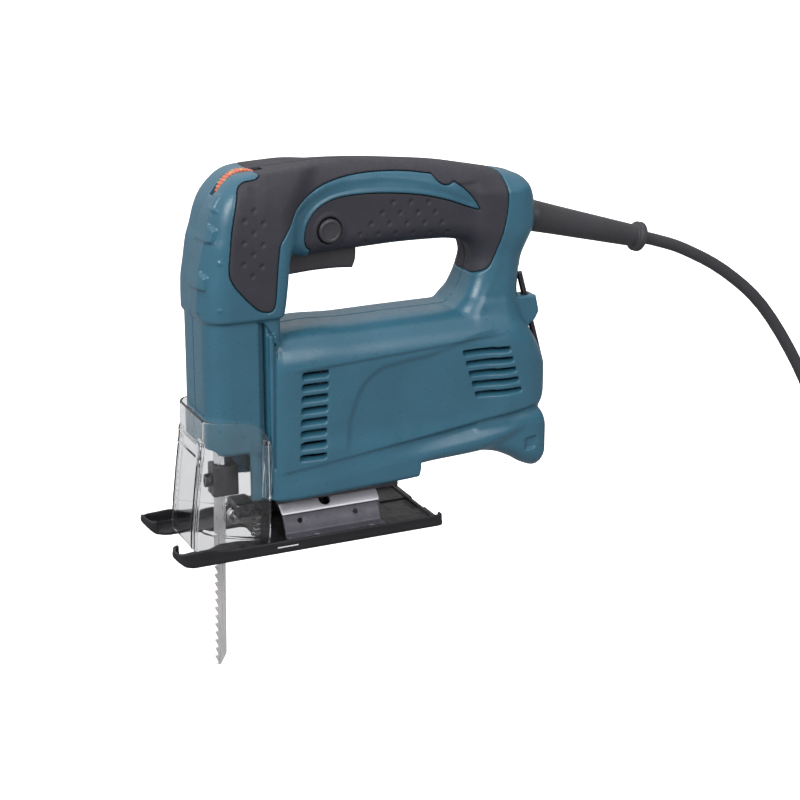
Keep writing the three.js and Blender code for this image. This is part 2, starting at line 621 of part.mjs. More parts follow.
function bevelBracket() {
  const liner = halfPipe(LINER_OUT, LINER_IN, 3.4, 48);
  const foot = (s) => box(Math.min(s * 18.9, s * 27), Math.max(s * 18.9, s * 27), ARCH_Y0, ARCH_Y1, 2.7, 4.3);
  const holes = [];
  for (const y of [4, 34]) {
    for (const x of [-23.8, 23.8]) holes.push(rod([x, y, 0], [x, y, 8], 1.3, 1.3, 10));
  }
  return cut(join(liner, foot(1), foot(-1)), boltSlot(), ...holes);
}
function clampBolt() {
  const head = rod([0, BOLT_Y, 12.8], [0, BOLT_Y, 16.8], 4.2, 4.2, 16);
  const shank = rod([0, BOLT_Y, 16.6], [0, BOLT_Y, 31.6], 2, 2, 12);
  return cut(join(head, shank), rod([0, BOLT_Y, 12], [0, BOLT_Y, 15.4], 2.1, 2.1, 6));
}
function clampWasher() {
  return lathe([[2.3, 0], [5, 0], [5, 0.9], [2.3, 0.9], [2.3, 0]], 16, axisAt([0, BOLT_Y, 17.1], [0, 0, 1]));
}
function nutPlate() {
  return cut(box(-7, 7, 7, 21, 27.8, 31.7), rod([0, BOLT_Y, 25], [0, BOLT_Y, 33], 2.3, 2.3, 12));
}

// ---------- hex wrench on the back ----------
const WRENCH = { x: 12, from: [128.4, 129], to: [144.2, 72] };
function wrenchLine(t) {
  const w = WRENCH;
  return [w.x, w.from[0] + (w.to[0] - w.from[0]) * t, w.from[1] + (w.to[1] - w.from[1]) * t];
}
function hexWrench() {
  const bar = rod(wrenchLine(0), wrenchLine(1), 1.7, 1.7, 6);
  const end = wrenchLine(1);
  const foot = rod([end[0], end[1] - 0.6, end[2] + 1.4], [end[0] - 12, end[1] - 0.6, end[2] + 1.4], 1.7, 1.7, 6);
  return join(bar, foot);
}
function wrenchRoom() {
  const end = wrenchLine(1);
  return join(
    rod(wrenchLine(-0.06), wrenchLine(1.05), 2.2, 2.2, 8),
    box(end[0] - 15, end[0] + 3, end[1] - 3, end[1] + 2.4, end[2] - 1.4, end[2] + 4.2),
  );
}

// ---------- mains cord ----------
const CORD_R = 3.5;
const FLOOR = -76;
const COIL = { x: 22, y: 392, r: 40, bundle: 10.4 };
class CordPath extends THREE.CatmullRomCurve3 {}
function cordTube() {
  const points = [
    along(-4), along(30), along(60), along(90), [0, 240, 127.6], [0, 268, 112], [0, 296, 88],
    [2, 322, 50], [4, 344, 4], [8, 352, -34], [16, 353, -51.5],
  ].map((p) => new THREE.Vector3(...p));
  const path = new CordPath(points, false, 'centripetal');
  const circle = new THREE.Shape();
  for (let i = 0; i < 8; i += 1) {
    const t = (i * Math.PI) / 4;
    if (i === 0) circle.moveTo(CORD_R, 0);
    else circle.lineTo(CORD_R * Math.cos(t), CORD_R * Math.sin(t));
  }
  circle.closePath();
  const g = new THREE.ExtrudeGeometry(circle, { steps: 36, extrudePath: path, bevelEnabled: false });
  return solid(g);
}
function cordCoil() {
  const c = COIL;
  const g = new THREE.TorusGeometry(c.r, c.bundle, 8, 28);
  g.translate(c.x, c.y, FLOOR + c.bundle * 1.02);
  return solid(g);
}
// the plug lies on the near side of the coil, its pins pointing away from the tool
const PLUG = { x: COIL.x + 39, y0: COIL.y - 14, y1: COIL.y + 20, z0: FLOOR + 21.6, tall: 15, half: 11, pinGap: 9.5, pinR: 2 };
function plugBody() {
  const p = PLUG;
  const z1 = p.z0 + p.tall;
  const nose = p.y1 - 4;
  const side = [[p.y0, p.z0 + 4], [nose, p.z0], [p.y1, p.z0], [p.y1, z1], [nose, z1], [p.y0, z1 - 4]];
  return alongX(side, p.x - p.half, p.x + p.half, 1.5, 2);
}
function plugPin(side) {
  const p = PLUG;
  const x = p.x + side * p.pinGap;
  const z = p.z0 + p.tall / 2;
  return rod([x, p.y1 + 0.3, z], [x, p.y1 + 15, z], p.pinR, p.pinR, 10);
}

// ---------- assembly ----------
const group = new THREE.Group();
group.name = 'corded_jigsaw';
const LOOKS = {
  teal: [0x2f6f86, 0.45, 0],
  elastomer: [0x3b383b, 0.85, 0],
  black: [0x1c1b1d, 0.5, 0.2],
  steel: [0x9a9da2, 0.3, 1],
  bright: [0xc9ccd0, 0.22, 1],
  dark_steel: [0x3a3a3e, 0.4, 0.9],
  cast: [0x8e9094, 0.5, 0.9],
  copper: [0xb06a3a, 0.35, 1],
  bronze: [0xa9803f, 0.45, 1],
  carbon: [0x232326, 0.8, 0],
  clear: [0xdfe9ec, 0.08, 0],
  orange: [0xd8562c, 0.5, 0],
  nylon: [0x2a2b2d, 0.6, 0],
};
function add(name, look, body) {
  const [color, roughness, metalness] = LOOKS[look];
  const material = new THREE.MeshStandardMaterial({ color, roughness, metalness });
  if (look === 'clear') {
    material.transparent = true;
    material.opacity = 0.35;
  }
  material.name = name;
  const flat = geometryOf(cleaned(body)).toNonIndexed();
  flat.computeVertexNormals();
  const mesh = new THREE.Mesh(flat, material);
  mesh.name = name;
  group.add(mesh);
}

add('left_housing', 'teal', shellHalf(1));
add('right_housing', 'teal', shellHalf(-1));
add('left_grip', 'elastomer', gripHalf(1));
add('right_grip', 'elastomer', gripHalf(-1));
add('gear_housing', 'cast', gearHousing());
SCREWS.forEach(([y, z], i) => {
  const head = rod([SCREW.x0, y, z], [SCREW.x0 + 2.6, y, z], SCREW.head, SCREW.head, 10);
  const shank = rod([SCREW.x0 + 2.5, y, z], [SCREW.x1, y, z], SCREW.shank, SCREW.shank, 8);
  add(`housing_screw_${i + 1}`, 'dark_steel', join(head, shank));
});
add('stator_core', 'steel', statorCore());
add('field_coil_upper', 'copper', fieldCoil(1));
add('field_coil_lower', 'copper', fieldCoil(-1));
add('front_bearing', 'steel', ringY(8.1, 4.1, -12.6, -9.2, MOTOR_Z, 20));
add('rear_bearing', 'steel', ringY(11, 4.1, 90, 97, MOTOR_Z, 20));
add('brush_holder_left', 'bronze', brushHolder(1));
add('brush_holder_right', 'bronze', brushHolder(-1));
add('brush_left', 'carbon', brush(1));
add('brush_right', 'carbon', brush(-1));
add('armature_shaft', 'steel', armatureShaft());
add('armature_core', 'dark_steel', toothed(12, 11.6, 13.6, 20.4, 61.6, MOTOR_Z).subtract(rod([0, 10, MOTOR_Z], [0, 70, MOTOR_Z], 4.1, 4.1, 16)));
add('commutator', 'copper', commutator());
add('cooling_fan', 'nylon', fan());
add('motor_pinion', 'steel', toothed(8, PINION_R - 0.85, PINION_R + 0.6, GEAR_Y0, GEAR_Y1, MOTOR_Z).subtract(rod([0, -40, MOTOR_Z], [0, 0, MOTOR_Z], 2.4, 2.4, 12)));
add('crank_gear', 'steel', crankGear());
add('crank_pin', 'bright', rod([0, -29.8, GEAR_Z - CRANK], [0, -22.3, GEAR_Z - CRANK], 2.6, 2.6, 12));
add('gear_shaft', 'bright', rod([0, -28.5, GEAR_Z], [0, -8.6, GEAR_Z], 3, 3, 16));
add('plunger_rod', 'bright', plungerRod());
add('scotch_yoke', 'steel', yoke());
add('bushing_upper', 'bronze', lathe([[4.56, 0], [6.6, 0], [6.6, 7.2], [4.56, 7.2], [4.56, 0]], 20, axisAt([0, PLUNGER_Y, 116.6], [0, 0, 1])));
add('bushing_lower', 'bronze', lathe([[4.56, 0], [6.6, 0], [6.6, 5.4], [4.56, 5.4], [4.56, 0]], 20, axisAt([0, PLUNGER_Y, 61.2], [0, 0, 1])));
add('blade_clamp', 'dark_steel', bladeClamp());
add('clamp_screw', 'dark_steel', clampScrew());
add('saw_blade', 'bright', blade());
add('retainer_arm', 'dark_steel', retainerArm());
add('roller_pin', 'bright', rod([-4.5, -31.6, 12], [4.5, -31.6, 12], 1.45, 1.45, 12));
add('guide_roller', 'dark_steel', lathe([[1.75, 0], [4, 0], [4, 1.2], [3.6, 1.7], [3.6, 2.9], [4, 3.4], [4, 4.6], [1.75, 4.6], [1.75, 0]], 20, axisAt([-2.3, -31.6, 12], [1, 0, 0])));
add('power_switch', 'nylon', box(-8.5, 8.5, 6, 42, 170.5, 187));
add('speed_module', 'nylon', box(-9, 9, -9.5, 3.6, 166.5, 187));
add('trigger', 'nylon', trigger());
add('lock_button', 'nylon', lockButton());
add('speed_dial', 'orange', speedDial());
add('cord_clamp', 'nylon', cordClamp());
add('cord_guard', 'elastomer', cordGuard());
add('dust_cover', 'clear', dustCover());
add('shoe_plate', 'black', shoePlate());
add('bevel_arch', 'bright', bevelArch());
add('bevel_bracket', 'steel', bevelBracket());
add('clamp_bolt', 'dark_steel', clampBolt());
add('clamp_washer', 'steel', clampWasher());
add('nut_plate', 'steel', nutPlate());
add('hex_wrench', 'dark_steel', hexWrench());
add('mains_cord', 'nylon', cordTube());
add('cord_coil', 'nylon', cordCoil());
add('plug_body', 'nylon', plugBody());
add('plug_pin_1', 'bright', plugPin(1));
add('plug_pin_2', 'bright', plugPin(-1));

export default group;
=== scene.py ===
"""Corded top-handle jigsaw: the visible model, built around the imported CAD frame.

Lengths in the shape functions are millimetres in the row frame; placed() turns them into metres.
The two housing shells, the grips, the shoe and the clear cover are fields sampled on a grid and
meshed at their zero level, so every moulded edge is rounded as a mould would leave it.
"""

import copy
import functools
import math

import bmesh
import bpy
import numpy as np
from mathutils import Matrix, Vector


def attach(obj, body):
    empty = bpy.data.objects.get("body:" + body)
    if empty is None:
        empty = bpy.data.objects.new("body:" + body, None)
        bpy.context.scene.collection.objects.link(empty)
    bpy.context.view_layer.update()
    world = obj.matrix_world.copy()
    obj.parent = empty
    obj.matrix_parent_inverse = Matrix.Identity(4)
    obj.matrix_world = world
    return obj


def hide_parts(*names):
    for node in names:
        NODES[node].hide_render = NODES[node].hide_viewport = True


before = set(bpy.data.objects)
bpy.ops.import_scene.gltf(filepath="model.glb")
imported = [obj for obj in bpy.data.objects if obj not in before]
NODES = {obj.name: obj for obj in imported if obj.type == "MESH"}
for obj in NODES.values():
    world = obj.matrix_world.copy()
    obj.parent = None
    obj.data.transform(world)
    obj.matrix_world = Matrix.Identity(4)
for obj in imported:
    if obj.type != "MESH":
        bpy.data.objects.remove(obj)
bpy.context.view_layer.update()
MM = 0.001
FLOOR_Z = -76.0
F32 = np.float32


# ---------- camera ----------
CAMERA_AT = Vector((0.8710, -0.3385, 0.3778))
CAMERA_AIM = Vector((0.0, 0.0640, 0.0623))
CAMERA_LENS = 84.7


def make_camera():
    data = bpy.data.cameras.new("camera")
    data.lens = CAMERA_LENS
    data.sensor_width = 36.0
    camera = bpy.data.objects.new("camera", data)
    camera.location = CAMERA_AT
    camera.rotation_euler = (CAMERA_AIM - CAMERA_AT).to_track_quat("-Z", "Y").to_euler()
    bpy.context.scene.collection.objects.link(camera)
    bpy.context.scene.camera = camera


make_camera()


# ---------- materials ----------
class Look:
    """A material under construction: its node tree, with short ways to add to it."""

    def __init__(self, name, color, roughness, metallic=0.0):
        self.material = bpy.data.materials.new(name)
        self.material.use_nodes = True
        self.nodes = self.material.node_tree.nodes
        self.links = self.material.node_tree.links
        self.shader = self.nodes["Principled BSDF"]
        self.color = (*color, 1.0)
        self.set("Base Color", self.color)
        self.set("Roughness", roughness)
        self.set("Metallic", metallic)
        self.coordinates = self.add("ShaderNodeTexCoord").outputs["Object"]

    def set(self, socket, value):
        self.shader.inputs[socket].default_value = value
        return self

    def add(self, kind, **settings):
        node = self.nodes.new(kind)
        for key, value in settings.items():
            setattr(node, key, value)
        return node

    def join(self, source, node, socket):
        self.links.new(source, node.inputs[socket])

    def noise(self, scale, detail=4.0, stretch=(1.0, 1.0, 1.0)):
        mapping = self.add("ShaderNodeMapping")
        mapping.inputs["Scale"].default_value = stretch
        self.join(self.coordinates, mapping, "Vector")
        noise = self.add("ShaderNodeTexNoise")
        noise.inputs["Scale"].default_value = scale
        noise.inputs["Detail"].default_value = detail
        noise.inputs["Roughness"].default_value = 0.55
        self.join(mapping.outputs["Vector"], noise, "Vector")
        return noise.outputs["Fac"]

    def cells(self, scale):
        cells = self.add("ShaderNodeTexVoronoi", feature="F1")
        cells.inputs["Scale"].default_value = scale
        self.join(self.coordinates, cells, "Vector")
        return cells.outputs["Distance"]

    def spread(self, source, low, high, start=0.35, end=0.65):
        """source's middle stretched to low..high."""
        node = self.add("ShaderNodeMapRange")
        node.inputs["From Min"].default_value = start
        node.inputs["From Max"].default_value = end
        node.inputs["To Min"].default_value = low
        node.inputs["To Max"].default_value = high
        self.join(source, node, "Value")
        return node.outputs["Result"]

    def mixed(self, factor, first, second):
        """The base colour going from one colour to another by a factor; gives the mixing node."""
        mix = self.add("ShaderNodeMix", data_type="RGBA")
        mix.inputs["A"].default_value = (*first, 1.0)
        mix.inputs["B"].default_value = (*second, 1.0)
        self.join(factor, mix, "Factor")
        self.links.new(mix.outputs["Result"], self.shader.inputs["Base Color"])
        return mix

    def banded(self, way, scale, distortion=0.0):
        """Even bands across a direction, for laminations and windings."""
        wave = self.add("ShaderNodeTexWave", wave_type="BANDS", bands_direction=way)
        wave.inputs["Scale"].default_value = scale
        wave.inputs["Distortion"].default_value = distortion
        self.join(self.coordinates, wave, "Vector")
        return wave.outputs["Fac"]

    def mottle(self, scale, darker, lighter, stretch=(1.0, 1.0, 1.0)):
        """The base colour drifting between a darker and a lighter share of itself."""
        ramp = self.add("ShaderNodeValToRGB")
        ends = ramp.color_ramp.elements
        ends[0].position = 0.3
        ends[1].position = 0.7
        ends[0].color = (*[c * darker for c in self.color[:3]], 1.0)
        ends[1].color = (*[min(1.0, c * lighter) for c in self.color[:3]], 1.0)
        self.join(self.noise(scale, stretch=stretch), ramp, "Fac")
        self.links.new(ramp.outputs["Color"], self.shader.inputs["Base Color"])
        return self

    def vary_roughness(self, scale, low, high, stretch=(1.0, 1.0, 1.0)):
        source = self.spread(self.noise(scale, stretch=stretch), low, high)
        self.links.new(source, self.shader.inputs["Roughness"])
        return self

    def bump(self, height, distance, strength):
        """A bump of that height in millimetres, stacked on the bumps already there."""
        node = self.add("ShaderNodeBump")
        node.inputs["Strength"].default_value = strength
        node.inputs["Distance"].default_value = distance * MM
        self.join(height, node, "Height")
        before = self.shader.inputs["Normal"]
        if before.is_linked:
            self.join(before.links[0].from_socket, node, "Normal")
        self.links.new(node.outputs["Normal"], before)
        return self

    def grain(self, scale, detail, height, strength, stretch=(1.0, 1.0, 1.0)):
        """A fine texture from noise, its height in millimetres."""
        return self.bump(self.noise(scale, detail, stretch), height, strength)

    def worn_edges(self, lighter, width):
        """Edges rubbed a little lighter, from the angle between a wide and a true normal."""
        bevel = self.add("ShaderNodeBevel", samples=4)
        bevel.inputs["Radius"].default_value = width * MM
        dot = self.add("ShaderNodeVectorMath", operation="DOT_PRODUCT")
        self.join(bevel.outputs["Normal"], dot, 0)
        self.join(self.add("ShaderNodeNewGeometry").outputs["Normal"], dot, 1)
        under = self.shader.inputs["Base Color"].links[0].from_socket
        mix = self.mixed(self.spread(dot.outputs["Value"], 0.55, 0.0, 0.93, 0.995), self.color[:3], lighter)
        self.join(under, mix, "A")
        return self


def teal_plastic():
    look = Look("teal_plastic", (0.028, 0.110, 0.165), 0.32)
    look.mottle(35.0, 0.93, 1.07).vary_roughness(220.0, 0.27, 0.37)
    look.grain(1800.0, 2.0, 0.02, 0.3)
    return look.set("Specular IOR Level", 0.55).material


def elastomer():
    look = Look("elastomer", (0.031, 0.031, 0.040), 0.58)
    look.mottle(60.0, 0.9, 1.12).vary_roughness(400.0, 0.55, 0.70)
    look.bump(look.cells(1700.0), 0.05, 0.6).grain(5200.0, 2.0, 0.02, 0.5)
    return look.set("Specular IOR Level", 0.38).material


def powder_coat():
    look = Look("black_paint", (0.013, 0.012, 0.014), 0.42)
    look.mottle(80.0, 0.85, 1.2).vary_roughness(300.0, 0.36, 0.5)
    look.grain(1800.0, 3.0, 0.05, 0.6)
    look.worn_edges((0.06, 0.06, 0.064), 0.5)
    return look.set("Specular IOR Level", 0.3).material


def plated_steel():
    look = Look("plated_steel", (0.84, 0.82, 0.88), 0.40, 0.35)
    look.mottle(90.0, 0.9, 1.05, (1.0, 0.15, 1.0))
    look.vary_roughness(600.0, 0.36, 0.50, (1.0, 0.06, 1.0))
    return look.grain(2400.0, 3.0, 0.02, 0.5, (1.0, 0.04, 1.0)).material


def rolled_steel():
    look = Look("rolled_steel", (0.17, 0.165, 0.18), 0.45, 0.75)
    look.mottle(120.0, 0.8, 1.2).vary_roughness(500.0, 0.38, 0.55)
    look.grain(1500.0, 4.0, 0.03, 0.5)
    return look.worn_edges((0.42, 0.42, 0.45), 0.4).material


def bracket_steel():
    look = Look("bracket_steel", (0.098, 0.093, 0.112), 0.5, 0.35)
    look.mottle(130.0, 0.85, 1.15).vary_roughness(420.0, 0.42, 0.6)
    look.grain(1500.0, 4.0, 0.03, 0.5)
    return look.worn_edges((0.30, 0.29, 0.32), 0.4).material


def bright_steel():
    look = Look("bright_steel", (0.66, 0.65, 0.66), 0.2, 1.0)
    look.vary_roughness(800.0, 0.14, 0.3, (1.0, 1.0, 0.06))
    look.mottle(150.0, 0.85, 1.05)
    return look.grain(3000.0, 2.0, 0.01, 0.4, (1.0, 1.0, 0.05)).material


def blade_steel():
    look = Look("blade_steel", (0.70, 0.68, 0.69), 0.36, 0.6)
    look.mottle(140.0, 0.8, 1.12, (1.0, 1.0, 0.25)).vary_roughness(900.0, 0.26, 0.45, (1.0, 1.0, 0.08))
    return look.grain(2600.0, 3.0, 0.03, 0.6, (1.0, 0.08, 1.0)).material


def dark_steel():
    look = Look("dark_steel", (0.055, 0.052, 0.056), 0.36, 0.85)
    look.mottle(160.0, 0.7, 1.3).vary_roughness(700.0, 0.28, 0.5)
    look.grain(2200.0, 4.0, 0.02, 0.5)
    return look.worn_edges((0.26, 0.26, 0.27), 0.4).material


def cast_alloy():
    # Cast alloy darkened: its grey is partly its own tone, partly painted shade standing for the dark gap
    # under the motor body, where the gear housing's foot shows.
    look = Look("cast_alloy", (0.10, 0.10, 0.11), 0.55, 0.6)
    look.mottle(120.0, 0.85, 1.1).vary_roughness(300.0, 0.42, 0.6)
    return look.grain(900.0, 5.0, 0.12, 0.6).material


def laminations():
    look = Look("laminations", (0.20, 0.20, 0.215), 0.4, 0.9)
    return look.mottle(140.0, 0.8, 1.15).bump(look.banded("Y", 620.0), 0.08, 0.7).material


def copper_wire():
    look = Look("copper_wire", (0.40, 0.15, 0.06), 0.32, 1.0)
    return look.mottle(200.0, 0.75, 1.2).bump(look.banded("Z", 480.0, 0.6), 0.16, 0.8).material


def bronze():
    look = Look("bronze", (0.42, 0.27, 0.10), 0.42, 1.0)
    look.mottle(300.0, 0.8, 1.15).vary_roughness(600.0, 0.34, 0.5)
    return look.grain(2500.0, 3.0, 0.02, 0.5).material


def carbon():
    look = Look("carbon", (0.02, 0.02, 0.021), 0.75)
    look.mottle(400.0, 0.8, 1.3)
    return look.grain(2800.0, 4.0, 0.03, 0.6).material


def black_nylon():
    look = Look("black_nylon", (0.034, 0.033, 0.038), 0.40)
    look.mottle(90.0, 0.88, 1.15).vary_roughness(500.0, 0.34, 0.5)
    return look.grain(3200.0, 3.0, 0.025, 0.5).material


def dial_plastic():
    """Orange plastic with a printed scale: generic flecks round the rim, no figures."""
    look = Look("dial_plastic", (0.56, 0.15, 0.09), 0.42)
    look.mixed(look.spread(look.cells(300.0), 1.0, 0.0, 0.30, 0.36), look.color[:3], (0.52, 0.38, 0.13))
    return look.vary_roughness(400.0, 0.36, 0.5).grain(2600.0, 3.0, 0.02, 0.5).material


def white_print():
    look = Look("white_print", (0.72, 0.72, 0.73), 0.5)
    return look.mottle(500.0, 0.85, 1.05).grain(2600.0, 2.0, 0.01, 0.4).material


def clear_plastic():
    look = Look("clear_plastic", (0.975, 0.988, 0.99), 0.05)
    look.set("Transmission Weight", 1.0).set("IOR", 1.34)
    look.vary_roughness(160.0, 0.02, 0.07)
    return look.grain(90.0, 2.0, 0.05, 0.15).material


def cord_rubber():
    look = Look("cord_rubber", (0.032, 0.031, 0.036), 0.55)
    look.mottle(50.0, 0.9, 1.15).vary_roughness(500.0, 0.48, 0.62)
    return look.grain(2400.0, 3.0, 0.03, 0.6).material


THROUGH_CLEAR = 0.25


def seen_straight(nodes, links):
    """1 for what the camera sees straight, a share of it for what it sees through clear plastic."""
    path = nodes.new("ShaderNodeLightPath")
    seen = nodes.new("ShaderNodeMath")
    seen.operation = "MULTIPLY_ADD"
    seen.inputs[1].default_value = THROUGH_CLEAR
    links.new(path.outputs["Is Transmission Ray"], seen.inputs[0])
    links.new(path.outputs["Is Camera Ray"], seen.inputs[2])
    return seen.outputs[0]


def studio_floor():
    """Pale paper: white in the picture, greyer in what it throws back at the object."""
    look = Look("studio_floor", (0.93, 0.925, 0.935), 0.6)
    seen = seen_straight(look.nodes, look.links)
    look.mixed(seen, (0.26, 0.26, 0.27), look.color[:3])
    look.set("Emission Color", (1.0, 1.0, 1.0, 1.0))
    glow = look.add("ShaderNodeMath", operation="MULTIPLY")
    glow.inputs[1].default_value = 0.62
    look.join(seen, glow, 0)
    look.links.new(glow.outputs[0], look.shader.inputs["Emission Strength"])
    return look.vary_roughness(8.0, 0.55, 0.65).material


TEAL = teal_plastic()
GRIP = elastomer()
PAINT = powder_coat()
PLATED = plated_steel()
ROLLED = rolled_steel()
BRACKET = bracket_steel()
BRIGHT = bright_steel()
BLADE = blade_steel()
DARK = dark_steel()
PAINTED_SHADE_ALLOY = cast_alloy()
CORE = laminations()
COPPER = copper_wire()
BRONZE = bronze()
CARBON = carbon()
NYLON = black_nylon()
DIAL_LOOK = dial_plastic()
CLEAR = clear_plastic()
PRINT = white_print()
RUBBER = cord_rubber()


# ---------- putting pieces in the scene ----------
def placed(name, points, faces, look, body, replaced=(), normals=None):
    """A mesh piece from millimetre points, riding on a body and standing for CAD nodes."""
    quads = isinstance(faces, np.ndarray)
    sizes = np.full(len(faces), 4, np.int32) if quads else np.array([len(f) for f in faces], np.int32)
    corners = faces.ravel() if quads else np.concatenate(faces)
    mesh = bpy.data.meshes.new(name)
    mesh.vertices.add(len(points))
    mesh.vertices.foreach_set("co", (np.asarray(points, F32) * MM).ravel())
    mesh.loops.add(len(corners))
    mesh.loops.foreach_set("vertex_index", corners.astype(np.int32))
    mesh.polygons.add(len(sizes))
    mesh.polygons.foreach_set("loop_start", np.concatenate(([0], np.cumsum(sizes)[:-1])).astype(np.int32))
    mesh.update(calc_edges=True)
    mesh.shade_smooth()
    if normals is not None:
        mesh.normals_split_custom_set_from_vertices(normals)
    return dressed(name, mesh, look, body, replaced)


def dressed(name, data, look, body, replaced=()):
    """An object with its material, the body it rides on and the CAD nodes it replaces."""
    obj = bpy.data.objects.new(name, data)
    bpy.context.scene.collection.objects.link(obj)
    data.materials.append(look)
    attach(obj, body)
    if replaced:
        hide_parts(*replaced)
    return obj


def break_edges(obj, width, sharp):
    """A small bevel on every edge sharper than that many degrees."""
    edge = obj.modifiers.new("edges", "BEVEL")
    edge.width = width * MM
    edge.segments = 2
    edge.limit_method = "ANGLE"
    edge.angle_limit = math.radians(sharp)


# ---------- fields: signed distances in millimetres, negative inside ----------
class Grid:
    """Evenly spaced sample points over a box, as three arrays that broadcast together."""

    def __init__(self, low, high, fine, coarse):
        self.low = np.array(low, float)
        self.cell = fine
        self.count = [int(math.ceil((b - a) / self.cell)) + 1 for a, b in zip(low, high)]
        axes = [a + self.cell * np.arange(n) for a, n in zip(low, self.count)]
        self.x = axes[0].astype(F32)[:, None, None]
        self.y = axes[1].astype(F32)[None, :, None]
        self.z = axes[2].astype(F32)[None, None, :]

    def folded(self):
        """The same grid with x made positive: what is drawn on it appears on both sides."""
        twin = copy.copy(self)
        twin.x = np.abs(self.x)
        return twin


def joined(a, b, blend):
    """The union of two fields, with a fillet about blend wide where they meet."""
    h = np.maximum(blend - np.abs(a - b), 0) / blend
    return np.minimum(a, b) - h * h * blend * 0.25


def kept(a, b, blend):
    """Where both fields are inside, its new edges rounded about blend wide."""
    h = np.maximum(blend - np.abs(a - b), 0) / blend
    return np.maximum(a, b) + h * h * blend * 0.25


def either(*fields):
    """The plain union of several fields."""
    return functools.reduce(np.minimum, fields)


def carved(body, tool, blend):
    """The body less the tool, with rounded edges."""
    return kept(body, -tool, blend)


def ramp(value, start, end):
    """0 before start, 1 after end, smooth between."""
    t = np.clip((value - start) / (end - start), 0, 1)
    return t * t * (3 - 2 * t)


def through(stations, column, at):
    """One column of a station table at every place, on a smooth curve that never overshoots."""
    x = np.array([s[0] for s in stations], float)
    y = np.array([s[column] for s in stations], float)
    slope = np.diff(y) / np.diff(x)
    tangent = np.zeros(len(x))
    same = slope[:-1] * slope[1:] > 0
    tangent[1:-1][same] = 2 * slope[:-1][same] * slope[1:][same] / (slope[:-1] + slope[1:])[same]
    tangent[0], tangent[-1] = slope[0], slope[-1]
    place = np.clip(at, x[0], x[-1])
    i = np.clip(np.searchsorted(x, place) - 1, 0, len(x) - 2)
    h = x[i + 1] - x[i]
    t = (place - x[i]) / h
    start = y[i] * (1 + 2 * t) * (1 - t) ** 2 + tangent[i] * h * t * (1 - t) ** 2
    end = y[i + 1] * t * t * (3 - 2 * t) + tangent[i + 1] * h * t * t * (t - 1)
    return (start + end).astype(F32)


def rounded_section(across, along, half, low, high, r_low, r_high):
    """A rounded rectangle: across within half, along from low to high, two corner radii."""
    middle, reach = (low + high) / 2, (high - low) / 2
    offset = along - middle
    most = np.minimum(half, reach) * 0.98
    r = np.minimum(np.where(offset > 0, r_high, r_low), most)
    qa = np.abs(across) - half + r
    qb = np.abs(offset) - reach + r
    outside = np.sqrt(np.maximum(qa, 0) ** 2 + np.maximum(qb, 0) ** 2)
    return outside + np.minimum(np.maximum(qa, qb), 0) - r


def loft(g, stations, upright=False, end=3.0):
    """Rounded sections along y, or along z when upright.

    A station is [place, low, high, half width, low corner radius, high corner radius].
    """
    along, beside = (g.z, g.y) if upright else (g.y, g.z)
    low, high, half, r_low, r_high = (through(stations, c, along) for c in range(1, 6))
    side = rounded_section(g.x, beside, half, low, high, r_low, r_high)
    ends = np.maximum(stations[0][0] - along, along - stations[-1][0])
    return kept(side, ends, end)


def block(g, low, high, radius=0.0):
    """A box with rounded edges."""
    sides = [
        np.abs(v - (a + b) / 2) - (b - a) / 2 + radius
        for v, a, b in zip((g.x, g.y, g.z), low, high)
    ]
    outside = np.sqrt(sum(np.maximum(s, 0) ** 2 for s in sides))
    inside = np.minimum(np.maximum(np.maximum(sides[0], sides[1]), sides[2]), 0)
    return outside + inside - radius


def bar(g, start, end, r0, r1=None):
    """A round bar between two points, its radius going from r0 to r1."""
    a, b = np.array(start, float), np.array(end, float)
    way = b - a
    length = np.linalg.norm(way)
    way = way / length
    px, py, pz = g.x - F32(a[0]), g.y - F32(a[1]), g.z - F32(a[2])
    along = px * way[0] + py * way[1] + pz * way[2]
    off = np.sqrt(np.maximum(px * px + py * py + pz * pz - along * along, 0))
    share = np.clip(along / length, 0, 1)
    side = off - (r0 + ((r0 if r1 is None else r1) - r0) * share)
    return np.maximum(side, np.maximum(-along, along - length)).astype(F32)


def ball(g, centre, radius):
    return np.sqrt((g.x - centre[0]) ** 2 + (g.y - centre[1]) ** 2 + (g.z - centre[2]) ** 2) - radius


def to_segment(u, v, a, b):
    """Squared distance in the plane to the segment from a to b."""
    ex, ey = b[0] - a[0], b[1] - a[1]
    wx, wy = u - a[0], v - a[1]
    t = np.clip((wx * ex + wy * ey) / (ex * ex + ey * ey), 0, 1)
    return (wx - t * ex) ** 2 + (wy - t * ey) ** 2


def outline(u, v, points):
    """Signed distance in the plane to a closed outline, negative inside."""
    best = np.full(np.broadcast(u, v).shape, 1e9, F32)
    inside = np.zeros(best.shape, bool)
    for (ax, ay), (bx, by) in zip(points, points[1:] + points[:1]):
        best = np.minimum(best, to_segment(u, v, (ax, ay), (bx, by)))
        if by != ay:
            inside ^= ((ay > v) != (by > v)) & (u < ax + (v - ay) * (bx - ax) / (by - ay))
    return np.where(inside, -1, 1).astype(F32) * np.sqrt(best)


def line_distance(u, v, points):
    """Distance in the plane to an open line through the points."""
    return np.sqrt(either(*(to_segment(u, v, a, b) for a, b in zip(points, points[1:]))))


def to_spots(g, places):
    """Distance in side view to the nearest of the places (y, z)."""
    return either(*(np.hypot(g.y - y, g.z - z) for y, z in places))


